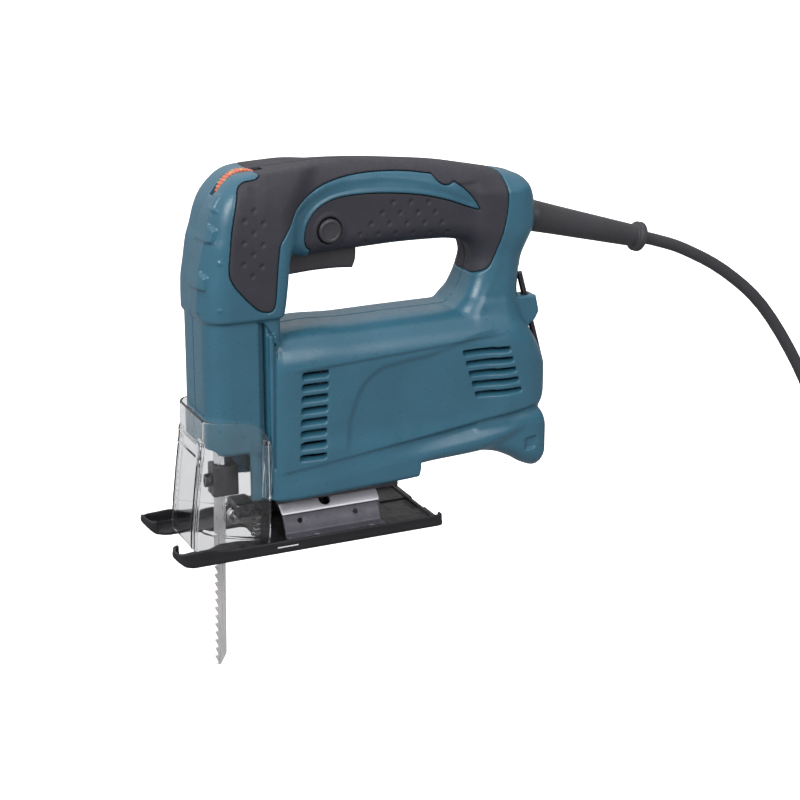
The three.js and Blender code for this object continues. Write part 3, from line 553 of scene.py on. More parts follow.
def curved(points, corners=(), steps=4):
    """More points round a closed outline, on a smooth curve that turns sharply at corners only."""
    count = len(points)
    p = np.array(points, float)
    made = []
    for i in range(count):
        a, b = p[i], p[(i + 1) % count]
        before = a if i in corners else p[i - 1]
        after = b if (i + 1) % count in corners else p[(i + 2) % count]
        span = np.linalg.norm(b - a)
        start = (b - before) / (np.linalg.norm(b - before) + 1e-9) * span
        end = (after - a) / (np.linalg.norm(after - a) + 1e-9) * span
        for k in range(steps):
            t = k / steps
            h = [(1 + 2 * t) * (1 - t) ** 2, t * (1 - t) ** 2, t * t * (3 - 2 * t), t * t * (t - 1)]
            made.append(tuple(h[0] * a + h[1] * start + h[2] * b + h[3] * end))
    return made


def evened(field, cell):
    """The field divided by how fast it changes, so that offsets near its surface are true."""
    rates = np.gradient(field, cell)
    speed = np.sqrt(sum(r * r for r in rates))
    return (field / np.clip(speed, 0.6, 3.0)).astype(F32)


def sampled(field, g, points):
    """The field between grid points, by trilinear interpolation."""
    place = (points - g.low) / g.cell
    last = np.array(field.shape) - 2
    i = np.clip(np.floor(place).astype(int), 0, last)
    f = np.clip(place - i, 0, 1)
    total = np.zeros(len(points))
    for corner in CORNERS:
        weight = np.abs(1 - np.array(corner) - f).prod(1)
        total += weight * field[tuple((i + corner).T)]
    return total


def steepest(field, g, points, reach=0.6):
    """The field's gradient at points, from samples a fraction of a cell to each side."""
    step = reach * g.cell
    rates = []
    for axis in range(3):
        move = np.zeros(3)
        move[axis] = step
        ahead, behind = sampled(field, g, points + move), sampled(field, g, points - move)
        rates.append((ahead - behind) / (2 * step))
    return np.stack(rates, 1)


CORNERS = [(i, j, k) for i in (0, 1) for j in (0, 1) for k in (0, 1)]
EDGES = [
    (a, b) for a in range(8) for b in range(a + 1, 8)
    if np.abs(np.subtract(CORNERS[a], CORNERS[b])).sum() == 1
]


def crossings(field, g):
    """One point in each cell that the surface passes through, and the cells' numbers."""
    inside = field < 0
    shape = [n - 1 for n in field.shape]

    def corner(values, c):
        return values[c[0]:c[0] + shape[0], c[1]:c[1] + shape[1], c[2]:c[2] + shape[2]]

    some, every = np.zeros(shape, bool), np.ones(shape, bool)
    for c in CORNERS:
        some |= corner(inside, c)
        every &= corner(inside, c)
    cells = np.argwhere(some & ~every)
    values = np.stack([field[tuple((cells + c).T)] for c in CORNERS], 1)
    total, hits = np.zeros((len(cells), 3)), np.zeros(len(cells))
    for a, b in EDGES:
        va, vb = values[:, a], values[:, b]
        cut = (va < 0) != (vb < 0)
        t = va / np.where(cut, va - vb, 1)
        place = np.array(CORNERS[a]) + t[:, None] * np.subtract(CORNERS[b], CORNERS[a])
        total += np.where(cut[:, None], place, 0)
        hits += cut
    numbers = np.full(shape, -1, np.int32)
    numbers[tuple(cells.T)] = np.arange(len(cells))
    return g.low + g.cell * (cells + total / hits[:, None]), numbers


def quads_of(field, numbers):
    """A quad round each grid edge that the surface crosses, facing out."""
    inside = field < 0
    faces = []
    for axis in range(3):
        u, v = (axis + 1) % 3, (axis + 2) % 3
        ahead = np.take(inside, range(1, field.shape[axis]), axis)
        behind = np.take(inside, range(field.shape[axis] - 1), axis)
        at = np.argwhere(ahead != behind)
        for w in (u, v):
            at = at[(at[:, w] > 0) & (at[:, w] < field.shape[w] - 1)]
        ring = []
        for du, dv in ((1, 1), (0, 1), (0, 0), (1, 0)):
            cell = at.copy()
            cell[:, u] -= du
            cell[:, v] -= dv
            ring.append(numbers[tuple(cell.T)])
        quad = np.stack(ring, 1)
        out = behind[tuple(at.T)]
        faces.append(np.where(out[:, None], quad, quad[:, ::-1]))
    return np.concatenate(faces)


SETTLING = 3


def skinned(field, g):
    """Points, quads and normals of the field's zero level."""
    points, numbers = crossings(field, g)
    faces = quads_of(field, numbers)
    home = points.copy()
    for _ in range(SETTLING):
        way = steepest(field, g, points)
        size = np.maximum((way * way).sum(1), 0.2)
        step = -(sampled(field, g, points) / size)[:, None] * way
        points = home + np.clip(points + np.clip(step, -0.4, 0.4) - home, -0.6 * g.cell, 0.6 * g.cell)
    way = steepest(field, g, points, 0.9)
    return points, faces, way / np.maximum(np.linalg.norm(way, axis=1), 1e-6)[:, None]


def largest(points, faces, normals):
    """The one connected surface with the most faces, without crumbs left by a cut."""
    parent = np.arange(len(points))
    ends = np.concatenate([faces[:, [0, 1]], faces[:, [1, 2]], faces[:, [2, 3]]])
    while True:
        low = np.minimum(parent[ends[:, 0]], parent[ends[:, 1]])
        new = parent.copy()
        np.minimum.at(new, ends[:, 0], low)
        np.minimum.at(new, ends[:, 1], low)
        new = new[new]
        new = new[new]
        if (new == parent).all():
            break
        parent = new
    groups, counts = np.unique(parent[faces[:, 0]], return_counts=True)
    keep = parent == groups[counts.argmax()]
    number = np.cumsum(keep) - 1
    return points[keep], number[faces[keep[faces[:, 0]]]], normals[keep]


# ---------- the housing's form ----------
COLUMN = [
    (53, -51.3, -12, 23.3, 12, 3), (121.6, -50.9, -12, 23.4, 12, 3), (124.4, -52.1, -10, 25.6, 13, 4),
    (138, -51.8, -8, 26, 13, 4), (149, -50.2, -6.6, 26, 13, 5), (160.8, -48, -4.6, 25.7, 12, 7),
    (166, -46.4, -4, 25.4, 12, 8), (176, -43.9, -2, 24.4, 12, 10), (182, -41.4, 1, 23, 11, 10),
    (190.5, -35, 5, 20, 10, 9), (195, -28.6, 7, 17, 9, 8), (198, -20, 8, 12, 7, 7),
]
LEG = [(27, -30, -12, 23.3, 2, 2), (60, -30, -12, 23.3, 2, 2)]
HANDLE = [
    (-16, 155, 197.6, 18.5, 10, 14), (-4, 152.6, 198, 19.5, 10, 15), (6, 149.8, 198, 19, 10, 16),
    (32, 150, 196.8, 17.5, 11, 16), (60, 150.5, 194.2, 17.5, 12, 16), (83, 150, 191.4, 17.5, 12, 16),
    (100, 147, 188, 17.5, 12, 15), (115, 143, 184.8, 17.5, 12, 14), (127, 142, 182, 17, 12, 12),
    (132, 145, 179.4, 15.6, 12, 11), (135.6, 150, 174.5, 13, 9, 9), (137.4, 155, 167, 9, 5, 5),
]
POST = [
    (100, 88, 131, 26, 9, 13), (112, 92, 128.5, 22, 9, 13), (120, 96, 128, 19.5, 10, 12),
    (130, 100, 129.5, 18.4, 11, 12), (140, 102, 130.8, 18, 12, 12), (147, 102, 132.4, 17.8, 12, 12),
    (156, 101, 135.4, 17.2, 12, 12), (172, 98, 133, 15, 10, 10),
]
BODY = [
    (-19.5, 25.7, 108, 26, 2.5, 15), (-12, 25.7, 113, 28.6, 3, 18), (8, 26.2, 114.4, 29.5, 3, 20),
    (30, 26.9, 113.4, 29.5, 3, 20), (62.4, 28, 113.7, 29.5, 3, 20), (63.4, 34.9, 113.7, 29.5, 4, 20),
    (98, 36, 113.8, 29.3, 6, 20), (116, 39, 112.2, 28.6, 8, 19), (127, 43, 107, 27.4, 10, 18),
    (134, 48, 98.5, 25.4, 12, 16), (139, 54, 88, 22.4, 12, 12), (141, 60, 78, 17, 8, 8),
]
TAIL = [
    (96, 36, 58, 26.4, 6, 6), (110, 33, 58, 26.8, 8, 8), (120, 28.4, 57.6, 27, 9, 9),
    (128, 23.4, 57.2, 27, 10, 9), (135, 21, 56, 26.6, 10, 9), (139.6, 23.4, 52.5, 25, 9, 8),
    (140.8, 28, 48, 22.5, 7, 7),
]
GRIP_EDGE = [
    (-19, 206), (-19, 196.6), (-20.8, 193.4), (-28.6, 191.6), (-31.6, 189), (-32.8, 185.6), (-36.8, 171),
    (-39.1, 155.5), (-39.4, 147.5), (-36.5, 141.2), (-25.8, 129.4), (-21, 127.2), (-17, 127.8),
    (-15.6, 132.6), (-12.7, 159.6), (-9.7, 164.7), (-6, 169.8), (-2, 176.9), (5.7, 183.2), (15.4, 187.5),
    (29.9, 190), (44.6, 190.4), (61.3, 189.2), (75.6, 186.8), (77.8, 183.6), (80.8, 181.2), (84.4, 180.8),
    (87.6, 182.2), (94.6, 176.6), (99.2, 171), (102, 166.2), (94.1, 168.9), (84.4, 172.7), (69.1, 176.9),
    (50.3, 179.6), (31.9, 180.4), (19.5, 179.2), (10.6, 175.4), (4.6, 168.4), (2.9, 160.4), (4.2, 156.2),
    (6.4, 154.6), (7, 140), (92.5, 128), (104, 132.5), (108.3, 135.6), (112.5, 146.2), (116.9, 161.1),
    (118.1, 171.2), (117.4, 181.4), (114, 190), (110, 206),
]
GRIP_CORNERS = (0, 13, 23, 27, 30, 41, 42, 43, 51)
ARC_MIDDLE = [
    (0, 174), (8, 179.5), (16, 183.2), (30, 185.4), (45, 185.6), (61, 183.8), (80, 178), (100, 168),
]
RIB_LINE = [
    (-24.5, 121.4), (-22, 120.8), (-19.8, 118.4), (-17.6, 114.5), (-16.7, 110), (-17.4, 78.5), (-18.2, 44.2),
]
DISH = [
    (21, 63), (23.4, 72), (27.6, 82), (34, 89), (42, 93), (66, 96), (124, 101), (126, 60), (80, 44), (23, 42),
]
SHINGLE = {"edge": 139.2, "pitch": 23.4, "notch": 7.6, "upper": 14.5, "lower": 19.8}
TOP = {"high": 197.6, "rear": 24.0, "fall": 0.055}
SHOULDER = {"z": 96.0, "y": 10.0, "rise": 0.045}
SKIRT = {"z": 44.2, "y": 5.0, "rise": 0.116}
RIB_X = 23.6
GROOVE = {"x": 18.6, "y0": -24.2, "y1": -20.5, "low": 56.0, "top": 120.8}
BAY = {"half": 20.0, "front": -60.0, "rear": -13.0, "top": 56.2}
CLAMP_WELL = {"half": 7.2, "front": -45.6, "rear": -29.8, "top": 62.5}
PORT = {"y": 124.5, "z": 38.5, "r0": 12.5, "r1": 13.6}
GRIP_SINK = 2.8
GRIP_THICK = 2.7
SHELL = 4.2
SEAM_HALF = 0.12
LEFT_VENTS = {"count": 8, "y0": -3.2, "y1": 11.3, "top": 91.8, "pitch": 6.17, "tall": 3.4, "shift": -0.29}
REAR_VENTS = {"count": 5, "y0": 88.4, "y1": 115.8, "top": 91.6, "pitch": 5.9, "tall": 3.1, "shift": 1.85}
DIAL = {"y": -24.0, "z": 182.0, "r": 13.9, "x0": 0.5, "x1": 5.9}
BUTTON = {"y": 17.0, "z": 163.4, "r": 6.3}
TRIGGER = {"y0": -4.6, "y1": 36.6, "half": 7.4}
WRENCH = {"x": 12.0, "top": (128.4, 129.0), "bend": (143.6, 74.2), "foot": 10.0, "radius": 1.72}
GUARD_START = np.array([0.0, 124.0, 160.9])
GUARD_WAY = np.array([0.0, 0.9653, -0.2611])
SCREWS = [(-43.0, 158.0), (62.0, 183.0), (100.0, 152.0), (124.0, 92.0), (30.0, 108.5)]
PIPS = [(-42.9, 179.0), (-44.0, 154.2), (-44.8, 130.5)]


def on_guard(distance):
    """A point on the cord guard's line, that far from where it starts inside the handle."""
    return GUARD_START + GUARD_WAY * distance


def body_form(g):
    """The motor body: flat flanks under a crisp shoulder, a valley above the skirt, a shallow dish."""
    body = loft(g, BODY)
    flank = ramp(np.abs(g.x), 19, 26)
    shoulder = SHOULDER["z"] + SHOULDER["rise"] * (g.y - SHOULDER["y"]) - g.z
    below = ramp(shoulder, -0.5, 1.0) * ramp(g.z, 50, 60) * ramp(g.y, -10, 2) * ramp(116 - g.y, 0, 16)
    dish = ramp(-outline(g.y, g.z, curved(DISH)), 0, 3.6) * ramp(g.z, 45, 56) * ramp(118 - g.y, 0, 24)
    under = SKIRT["z"] + SKIRT["rise"] * (g.y - SKIRT["y"]) - g.z
    depth = 0.7 + 2.6 * ramp(g.y, 10, 100)
    valley = ramp(under, -0.3, 0.8 + 0.9 * depth) * (1 - ramp(under, 1 + 0.9 * depth, 12))
    return body + flank * (below + dish) + flank * depth * valley * ramp(g.y, -19, -10)


def head_form(g):
    """The column and its head, with shingled panels on the near side of the front seam."""
    t = np.mod(g.z - 0.04 * g.x - SHINGLE["edge"], SHINGLE["pitch"])
    wide = 1 - ramp(t + 0.12 * (g.x - 17), SHINGLE["notch"] - 0.8, SHINGLE["notch"] + 0.8)
    border = SHINGLE["upper"] + (SHINGLE["lower"] - SHINGLE["upper"]) * wide
    panel = ramp(border - g.x, -0.4, 0.4) * ramp(g.x, 0.1, 0.9) * ramp(-33 - g.y, 0, 3)
    panel = panel * ramp(g.z, 125.5, 128) * ramp(186.4 - g.z, 0, 1)
    raised = 0.8 + 1.1 * (1 - t / SHINGLE["pitch"]) * ramp(t, 0, 0.6)
    return loft(g, COLUMN, True) - panel * raised


def whole_form(g):
    """The two shells and the grips together, before anything is cut."""
    handle = joined(head_form(g), loft(g, HANDLE), 9)
    top = TOP["high"] - TOP["fall"] * np.maximum(TOP["rear"] - g.y, 0)
    loop = joined(kept(handle, g.z - top, 2.0), loft(g, POST, True), 9)
    trunk = joined(body_form(g), loft(g, TAIL), 1.6)
    trunk = joined(trunk, loft(g, LEG, True, 1.5), 1.0)
    made = joined(loop, trunk, 2.0 + 7.0 * (1 - ramp(118 - g.z, 0, 8)))
    rib = block(g.folded(), (RIB_X - 2.6, -19.7, 27), (RIB_X + 2.6, -15.4, 115), 0.8)
    return evened(joined(made, rib, 0.8), g.cell)


def shear_slots(g, vents):
    """A column of vent slots, their ends stepping along as they go down, rising inward as louvres."""
    slots = []
    rise = 0.5 * (29.0 - np.abs(g.x))
    middle, reach = (vents["y0"] + vents["y1"]) / 2, (vents["y1"] - vents["y0"]) / 2
    for i in range(vents["count"]):
        z = vents["top"] - i * vents["pitch"]
        lean = (g.z - z) * vents["shift"] / vents["pitch"]
        across = np.abs(g.y + lean - middle - i * vents["shift"]) - reach
        slots.append(kept(across, np.abs(g.z - rise - z) - vents["tall"] / 2, 1.0))
    return np.maximum(either(*slots), 20 - np.abs(g.x))


def openings(g):
    """Everything cut through the shells: vents, slots, the blade bay and the dust port."""
    sides = g.folded()
    dial = np.hypot(g.y - DIAL["y"], g.z - DIAL["z"]) - DIAL["r"] - 2.6
    dial = kept(dial, np.maximum(-0.3 - g.x, g.x - DIAL["x1"] - 0.5), 0.6)
    half = TRIGGER["half"] + 0.5
    trigger = block(g, (-half, TRIGGER["y0"] - 0.5, 140), (half, TRIGGER["y1"] + 0.6, 160), 1)
    guard = bar(g, on_guard(4), on_guard(32), 8.5, 8.2)
    seat = block(g, (-17.6, -13, 10), (17.6, 57.5, 38), 0.5)
    relief = block(g, (-22.6, -25, 10), (22.6, 66, 27.2), 0.3)
    bay = block(g, (-BAY["half"], BAY["front"], 10), (BAY["half"], BAY["rear"], BAY["top"]), 2)
    half = CLAMP_WELL["half"]
    well = block(g, (-half, CLAMP_WELL["front"], 50), (half, CLAMP_WELL["rear"], CLAMP_WELL["top"]), 0.8)
    groove = block(sides, (21.8, GROOVE["y0"], 10), (40, GROOVE["y1"], 60), 0.5)
    middle = (GROOVE["y0"] + GROOVE["y1"]) / 2
    deep = kept(np.abs(g.y - middle) - 1.85, np.maximum(GROOVE["low"] - g.z, g.z - GROOVE["top"]), 1.8)
    deep = np.maximum(deep, GROOVE["x"] - sides.x)
    port = bar(g, (0, PORT["y"], PORT["z"]), (0, 150, PORT["z"]), PORT["r0"], PORT["r1"])
    far_half = g.low[0] < -5
    rear = dict(REAR_VENTS, y1=106) if far_half else REAR_VENTS
    vents = either(shear_slots(g, LEFT_VENTS), shear_slots(g, rear))
    return either(vents, dial, trigger, guard, seat, bay, well, groove, deep, relief, port)


def dimple_places():
    """Centres of the dimples moulded into the grips and the head, on the near side."""
    places = []
    for k in range(7):
        z = 178.6 - 5.33 * k
        y = -25.3 - 0.37 * k
        places += [(y, z)] if k % 2 == 0 else [(y - 5.0, z + 0.9), (y + 4.8, z - 0.9)]
    for row in range(4):
        for i in range(3 + row):
            places.append((52.6 - 6.1 * row + 10.0 * i, 174.6 - 5.0 * row - 0.75 * i))
    places += [(37.6, 155.2), (57.2, 153.8), (-27.5, 146.7)]
    return places


def dimples(g, form):
    """Small round dents in the skin at dimple_places()."""
    return form + 0.9 * (1 - ramp(to_spots(g, dimple_places()), 0.2, 1.6)) * ramp(np.abs(g.x), 8, 10)


def head_pips(g, form):
    """Small raised points down the head, beside its panels."""
    return form - 0.6 * (1 - ramp(to_spots(g, PIPS), 0.4, 1.5)) * ramp(np.abs(g.x), 8, 10)


def screw_wells(g):
    """The far half's wells for the housing screws."""
    return either(*(bar(g, (-45, y, z), (-7.5, y, z), 3.5) for y, z in SCREWS))


def near_details(g, shell):
    """Only on the near half: the wrench clip, cut out for the key."""
    side = [(118, 92), (131, 99), (133.5, 101.6), (136, 103), (138.5, 107.6), (136.4, 116.6), (120, 117)]
    clip = kept(outline(g.y, g.z, side), np.abs(g.x - WRENCH["x"]) - 5.5, 1.4)
    key = bar(g, (WRENCH["x"], 127.4, 132.4), (WRENCH["x"], 145, 69), 2.1)
    foot = block(g, (-3, 141, 70.4), (15, 147, 76.4), 1)
    return carved(joined(shell, clip, 1.2), np.minimum(key, foot), 0.5)


def tail_recess(g):
    """A latch pocket low on each side of the dust port."""
    side = [(126.4, 39.6), (133.4, 40.6), (132.4, 33.6), (126.4, 33.2)]
    return kept(outline(g.y, g.z, side), 25.4 - np.abs(g.x), 0.6)


def skin_of(g, form, near):
    """The grip's outer skin: dimpled, a little sunk along the handle, a ring round the button."""
    lower = ramp(181.5 - g.z, 0, 2) * ramp(g.z, 140, 146) * ramp(g.y, 0, 5) * ramp(104 - g.y, 0, 5)
    skin = dimples(g, form) + 0.8 * lower
    if not near:
        return skin
    from_button = np.hypot(g.y - BUTTON["y"], g.z - BUTTON["z"])
    ring = np.abs(from_button - BUTTON["r"] - 1.6) - 0.9
    return skin - 0.5 * (1 - ramp(ring, -0.5, 0.9))


def arc_scoop(g, region):
    """How deep the band between the two grip areas is scooped, below its middle line."""
    middle = through(ARC_MIDDLE, 1, g.y)
    scoop = 0.8 * ramp(region, 1.0, 2.4) * ramp(middle + 3 - g.z, 0, 4) * ramp(g.z, 158, 164)
    return scoop * ramp(g.y, -6, 4) * ramp(100 - g.y, 0, 4) * ramp(np.abs(g.x), 8, 11)


def halves_of(side):
    """One shell and its grip: (points, faces, normals) of each."""
    near = side > 0
    x0, x1 = (-1.4, 31.5) if near else (-31.5, 1.4)
    g = Grid((x0, -59, 17), (x1, 146, 204), 0.7, 1.2)
    form = whole_form(g)
    form = head_pips(g, form) if near else form
    region = outline(g.y, g.z, curved(GRIP_EDGE, GRIP_CORNERS))
    button = bar(g, (8, BUTTON["y"], BUTTON["z"]), (40, BUTTON["y"], BUTTON["z"]), BUTTON["r"] + 0.5)
    ways = either(openings(g), button if near else screw_wells(g))
    half = SEAM_HALF - side * g.x
    wall = kept(form + arc_scoop(g, region), -(form + SHELL), 0.3)
    lining = block(g.folded(), (GROOVE["x"] - 2.1, -27, 57), (GROOVE["x"] + 2.1, -17, 122), 0.3)
    line = np.maximum(line_distance(g.y, g.z, RIB_LINE) - 0.55, -(form + 1.4))
    wall = carved(np.minimum(wall, lining), np.maximum(line, 12 - np.abs(g.x)), 0.3)
    shell = carved(wall, np.maximum(region - 0.15, -(form + GRIP_SINK)), 0.5)
    shell = near_details(g, shell) if near else shell
    shell = carved(carved(shell, tail_recess(g), 0.5), ways, 0.5)
    grip = kept(kept(skin_of(g, form, near), -(form + GRIP_THICK), 0.3), region + 0.12, 0.7)
    grip = carved(grip, ways, 0.6)
    return skinned(kept(shell, half, 0.35), g), skinned(kept(grip, half, 0.35), g)


def make_housing():
    """The two shells and their grips."""
    for side, name in ((1, "left"), (-1, "right")):
        shell, grip = (largest(*mesh) for mesh in halves_of(side))
        for (points, faces, normals), part, node, look, finish in (
            (shell, "shell", "housing", TEAL, "teal_plastic"), (grip, "soft_grip", "grip", GRIP, "soft_grip"),
        ):
            placed(f"{name}_{part}", points, faces, look, "housing", (f"{name}_{node}",), normals)


# ---------- tools for turned, pressed and swept pieces ----------
def filleted(corners, steps=4):
    """A closed outline from corners (u, v, radius), each corner with a radius turned into an arc."""
    made = []
    for i, (u, v, r) in enumerate(corners):
        at = np.array((u, v), float)
        if not r:
            made.append((u, v))
            continue
        back = np.array(corners[i - 1][:2]) - at
        ahead = np.array(corners[(i + 1) % len(corners)][:2]) - at
        back, ahead = back / np.linalg.norm(back), ahead / np.linalg.norm(ahead)
        half = math.acos(np.clip(back @ ahead, -1, 1)) / 2
        middle = at + (back + ahead) / np.linalg.norm(back + ahead) * r / math.sin(half)
        reach = r / math.tan(half)
        first, last = at + back * reach - middle, at + ahead * reach - middle
        for k in range(steps + 1):
            way = first + (last - first) * k / steps
            made.append(tuple(middle + way / np.linalg.norm(way) * r))
    return made


def ring_faces(rings, sides):
    """The faces of a closed tube of that many rings, with a cap at each end."""
    faces = []
    for i in range(rings - 1):
        for k in range(sides):
            a, b = i * sides + k, i * sides + (k + 1) % sides
            faces.append((a, b, b + sides, a + sides))
    last = (rings - 1) * sides
    return faces + [tuple(reversed(range(sides))), tuple(range(last, last + sides))]


def prism(points, low, high):
    """An outline [(y, z)] pushed from low to high along x: its points and faces."""
    made = [(x, y, z) for x in (low, high) for y, z in points]
    return np.array(made), ring_faces(2, len(points))


def swept(line, ring):
    """A section [(across, up)] carried along a line of points without twisting."""
    line = np.array(line, float)
    ways = np.gradient(line, axis=0)
    ways /= np.linalg.norm(ways, axis=1)[:, None]
    side = np.cross(ways[0], (0.3, 0.2, 0.9))
    made = []
    for at, way in zip(line, ways):
        side = side - way * (side @ way)
        side /= np.linalg.norm(side)
        up = np.cross(way, side)
        made += [at + side * a + up * b for a, b in ring]
    return made, ring_faces(len(line), len(ring))


def circle(radius, sides):
    turns = np.arange(sides) * 2 * math.pi / sides
    return [(radius * math.cos(t), radius * math.sin(t)) for t in turns]


def lathed(profile, start, way, sides=48):
    """A profile [(radius, along)] turned about the line from start along way."""
    way = np.array(way, float) / np.linalg.norm(way)
    side = np.cross(way, (1.0, 0.0, 0.0) if abs(way[0]) < 0.9 else (0.0, 1.0, 0.0))
    side /= np.linalg.norm(side)
    up = np.cross(way, side)
    points = []
    for r, d in profile:
        points += [np.array(start) + way * d + a * side + b * up for a, b in circle(r, sides)]
    return points, ring_faces(len(profile), sides)


def rounded_profile(corners, steps=4):
    """A turned profile whose corners (radius, along, fillet) become arcs."""
    return [p for p in filleted(corners, steps) if p[0] > 0.01]


def several(*solids):
    """Separate solids as one set of points and faces."""
    points, faces = [], []
    for more, sides in solids:
        start = len(points)
        points += [tuple(p) for p in more]
        faces += [tuple(start + i for i in f) for f in sides]
    return points, faces


def made_piece(name, solid, look, body, replaced=(), bevel=0.0, sharp=32.0):
    """A piece from outward faces, its edges broken by a small bevel."""
    points, faces = solid
    obj = placed(name, points, faces, look, body, replaced)
    bm = bmesh.new()
    bm.from_mesh(obj.data)
    bmesh.ops.recalc_face_normals(bm, faces=bm.faces)
    bm.to_mesh(obj.data)
    bm.free()
    obj.data.set_sharp_from_angle(angle=math.radians(sharp))
    if bevel:
        break_edges(obj, bevel, sharp)
    return obj


def field_piece(name, field, g, look, body, replaced=()):
    """A piece from the zero level of a field."""
    points, faces, normals = largest(*skinned(field.astype(F32), g))
    return placed(name, points, faces, look, body, replaced, normals)


# ---------- clear dust cover ----------
COVER = {"half": 26.6, "corner": 10.4, "thick": 1.5}
COVER_FRONT = [(0, -60.2), (10, -59.8), (35, -57.2), (60, -54.2), (80, -53.4)]
COVER_SIDE = [
    (-75, 72.4), (-42, 72.2), (-30, 69.6), (-25, 66.2), (-21.6, 61), (-19.9, 53), (-21.2, 24), (-22.1, 6),
    (-23.6, 3.4), (-32, 3.2), (-75, 2.6),
]
COVER_ARC = [(-56.3, 15.3), (-46.1, 12), (-34.8, 9.2), (-26, 7.7)]


def cover_lean(z):
    """How far the cover's rear edge stands back from its foot."""
    return 0.046 * (z - 55.0)


def cover_ribs(g, outer):
    """Everything that stands on the cover's wall: hems, rungs, bars, posts, a catch and an arc."""
    lean = g.y - cover_lean(g.z)
    width = np.abs(g.x)
    hem = kept(outer - 0.6, -(outer + 0.4), 0.4)
    rear_band = kept(hem, np.maximum(-24.6 - lean, 24 - width), 0.5)
    rungs, bars, posts = [], [], []
    for z in (19.4, 16.6, 13.8, 11.0):
        thin = kept(outer - 0.5, -(outer + 0.4), 0.3)
        rung = kept(thin, np.maximum(np.abs(g.z - z) - 0.4, -29.6 - lean), 0.3)
        rungs.append(np.maximum(rung, 24 - width))
    for z in (58.2, 51.2):
        level = kept(outer - 0.9, np.maximum(np.abs(g.z - z) - 0.55, width - 17.5), 0.4)
        bars.append(np.maximum(np.maximum(level, -(outer + 0.4)), g.y + 45))
    for x in (17.4, 13.2):
        post = kept(np.maximum(outer - 0.6, -(outer + 1.9)), np.abs(width - x) - 0.5, 0.4)
        posts.append(np.maximum(np.maximum(post, g.y + 45), g.z - 60))
    catch = block(g, (11.8, -64, 48.4), (17.2, -50, 61.6), 0.8)
    catch = np.maximum(catch, np.maximum(outer - 0.9, -(outer + 0.6)))
    arc = line_distance(g.y, g.z, COVER_ARC) - 0.5
    arc = np.maximum(np.maximum(arc, 20 - width), np.maximum(outer - 0.4, -(outer + 1.0)))
    return rear_band, either(*rungs), either(*bars), either(*posts), catch, arc


def make_cover():
    """The clear cover: a thin wall round the blade bay, its ribs, and lips that hook in the shells."""
    g = Grid((-28.5, -62.5, 1.5), (28.5, -17.0, 75.0), 0.42, 0.9)
    stations = [(z, front, 0, COVER["half"], COVER["corner"], 1) for z, front in COVER_FRONT]
    outer = loft(g, stations, True, 0.5)
    made = kept(outer, -(outer + COVER["thick"]), 0.4)
    for part in cover_ribs(g, outer):
        made = joined(made, part, 0.5)
    made = kept(made, outline(g.y, g.z, curved(COVER_SIDE, (0, 10), 5)), 0.5)
    lips = block(g.folded(), (22.4, -22.9, 28), (25.4, -20.9, 60), 0.5)
    made = np.minimum(made, lips)
    return field_piece("clear_cover", made, g, CLEAR, "cover", ("dust_cover",))


# ---------- shoe, bevel arch and bracket ----------
SHOE_PLAN = [
    (-32, 75.4, 3), (-32, -70, 5), (-28.4, -75.4, 4), (-17.6, -71.8, 3.2), (-15, -62, 6), (-15, -52, 4),
    (-10.5, -44, 4), (-10.5, -23, 3), (10.5, -23, 3), (10.5, -44, 4), (15, -52, 4), (15, -62, 6),
    (17.6, -71.8, 3.2), (28.4, -75.4, 4), (32, -70, 5), (32, 75.4, 3),
]
SHOE_BELOW = [(-75.4, 7.6), (-74, 5.4), (-71.7, 3.0), (-68.8, 1.0), (-64, 0.0), (-50, 0.0)]
SHOE_RIM = [
    (-75.4, 11.6), (-74, 9.6), (-71, 8.2), (-66, 8.3), (-58, 8.6), (-50, 7.1), (-40, 6.4), (75.4, 6.4),
]
SHOE_TRIM = 0.22
RIM = 1.7
DECK = 2.2
BOLT_HOLE = 4.6


def make_shoe():
    """The pressed base plate: curled toes, rims along its sides, a rib and a channel at the rear."""
    g = Grid((-33.5, -76.5, -1.5), (33.5, 76.9, 14.6), 0.5, 1.0)
    plan = outline(g.x, g.y, filleted(SHOE_PLAN)) + SHOE_TRIM
    above = g.z - through(SHOE_BELOW, 1, g.y)
    channel = 0.8 * ramp(np.maximum(8.6 - np.abs(g.x), 0), 0.0, 0.7) * ramp(g.y, 54.6, 55.8)
    deck = kept(plan, np.maximum(-above, above - DECK + channel), 0.6)
    outer_side = np.minimum(27.0 - np.abs(g.x), g.y + 68.5)
    rim = np.maximum(-above, g.z - through(SHOE_RIM, 1, g.y))
    rim = kept(np.maximum(plan, -(plan + RIM)), rim, 0.9)
    rim = np.maximum(np.maximum(rim, outer_side), g.y - 74.6)
    made = joined(deck, rim, 0.9)
    made = joined(made, block(g, (-30.5, 70.6, 1), (30.5, 72.2, 3.7), 0.6), 0.7)
    bolt = np.hypot(g.x, g.y - SLOT["y"]) - BOLT_HOLE
    made = carved(made, bolt, 0.5)
    return field_piece("base_shoe", made, g, PAINT, "shoe", ("shoe_plate",))


def make_scale_mark():
    """The printed line low on the near rim."""
    g = Grid((31.4, -21, 2), (32.6, -7, 4.6), 0.25, 0.25)
    mark = block(g, (31.7, -19.9, 2.85), (32.05, -8.4, 3.6), 0.15)
    return field_piece("scale_mark", mark, g, PRINT, "shoe")


ARCH = {"y0": -11.4, "y1": 44.2, "out": 22.5, "in": 20.95, "low": 14.2}
LINER = {"out": 20.6, "in": 18.95, "low": 3.7}
FOOT = {"z": 3.43, "half": 1.17, "reach": 30.2, "hole_x": 26.6, "hole_ys": (4.0, 35.0)}
SLOT = {"y": 14.0, "half": 3.0, "near": 36.0, "far": -54.0}


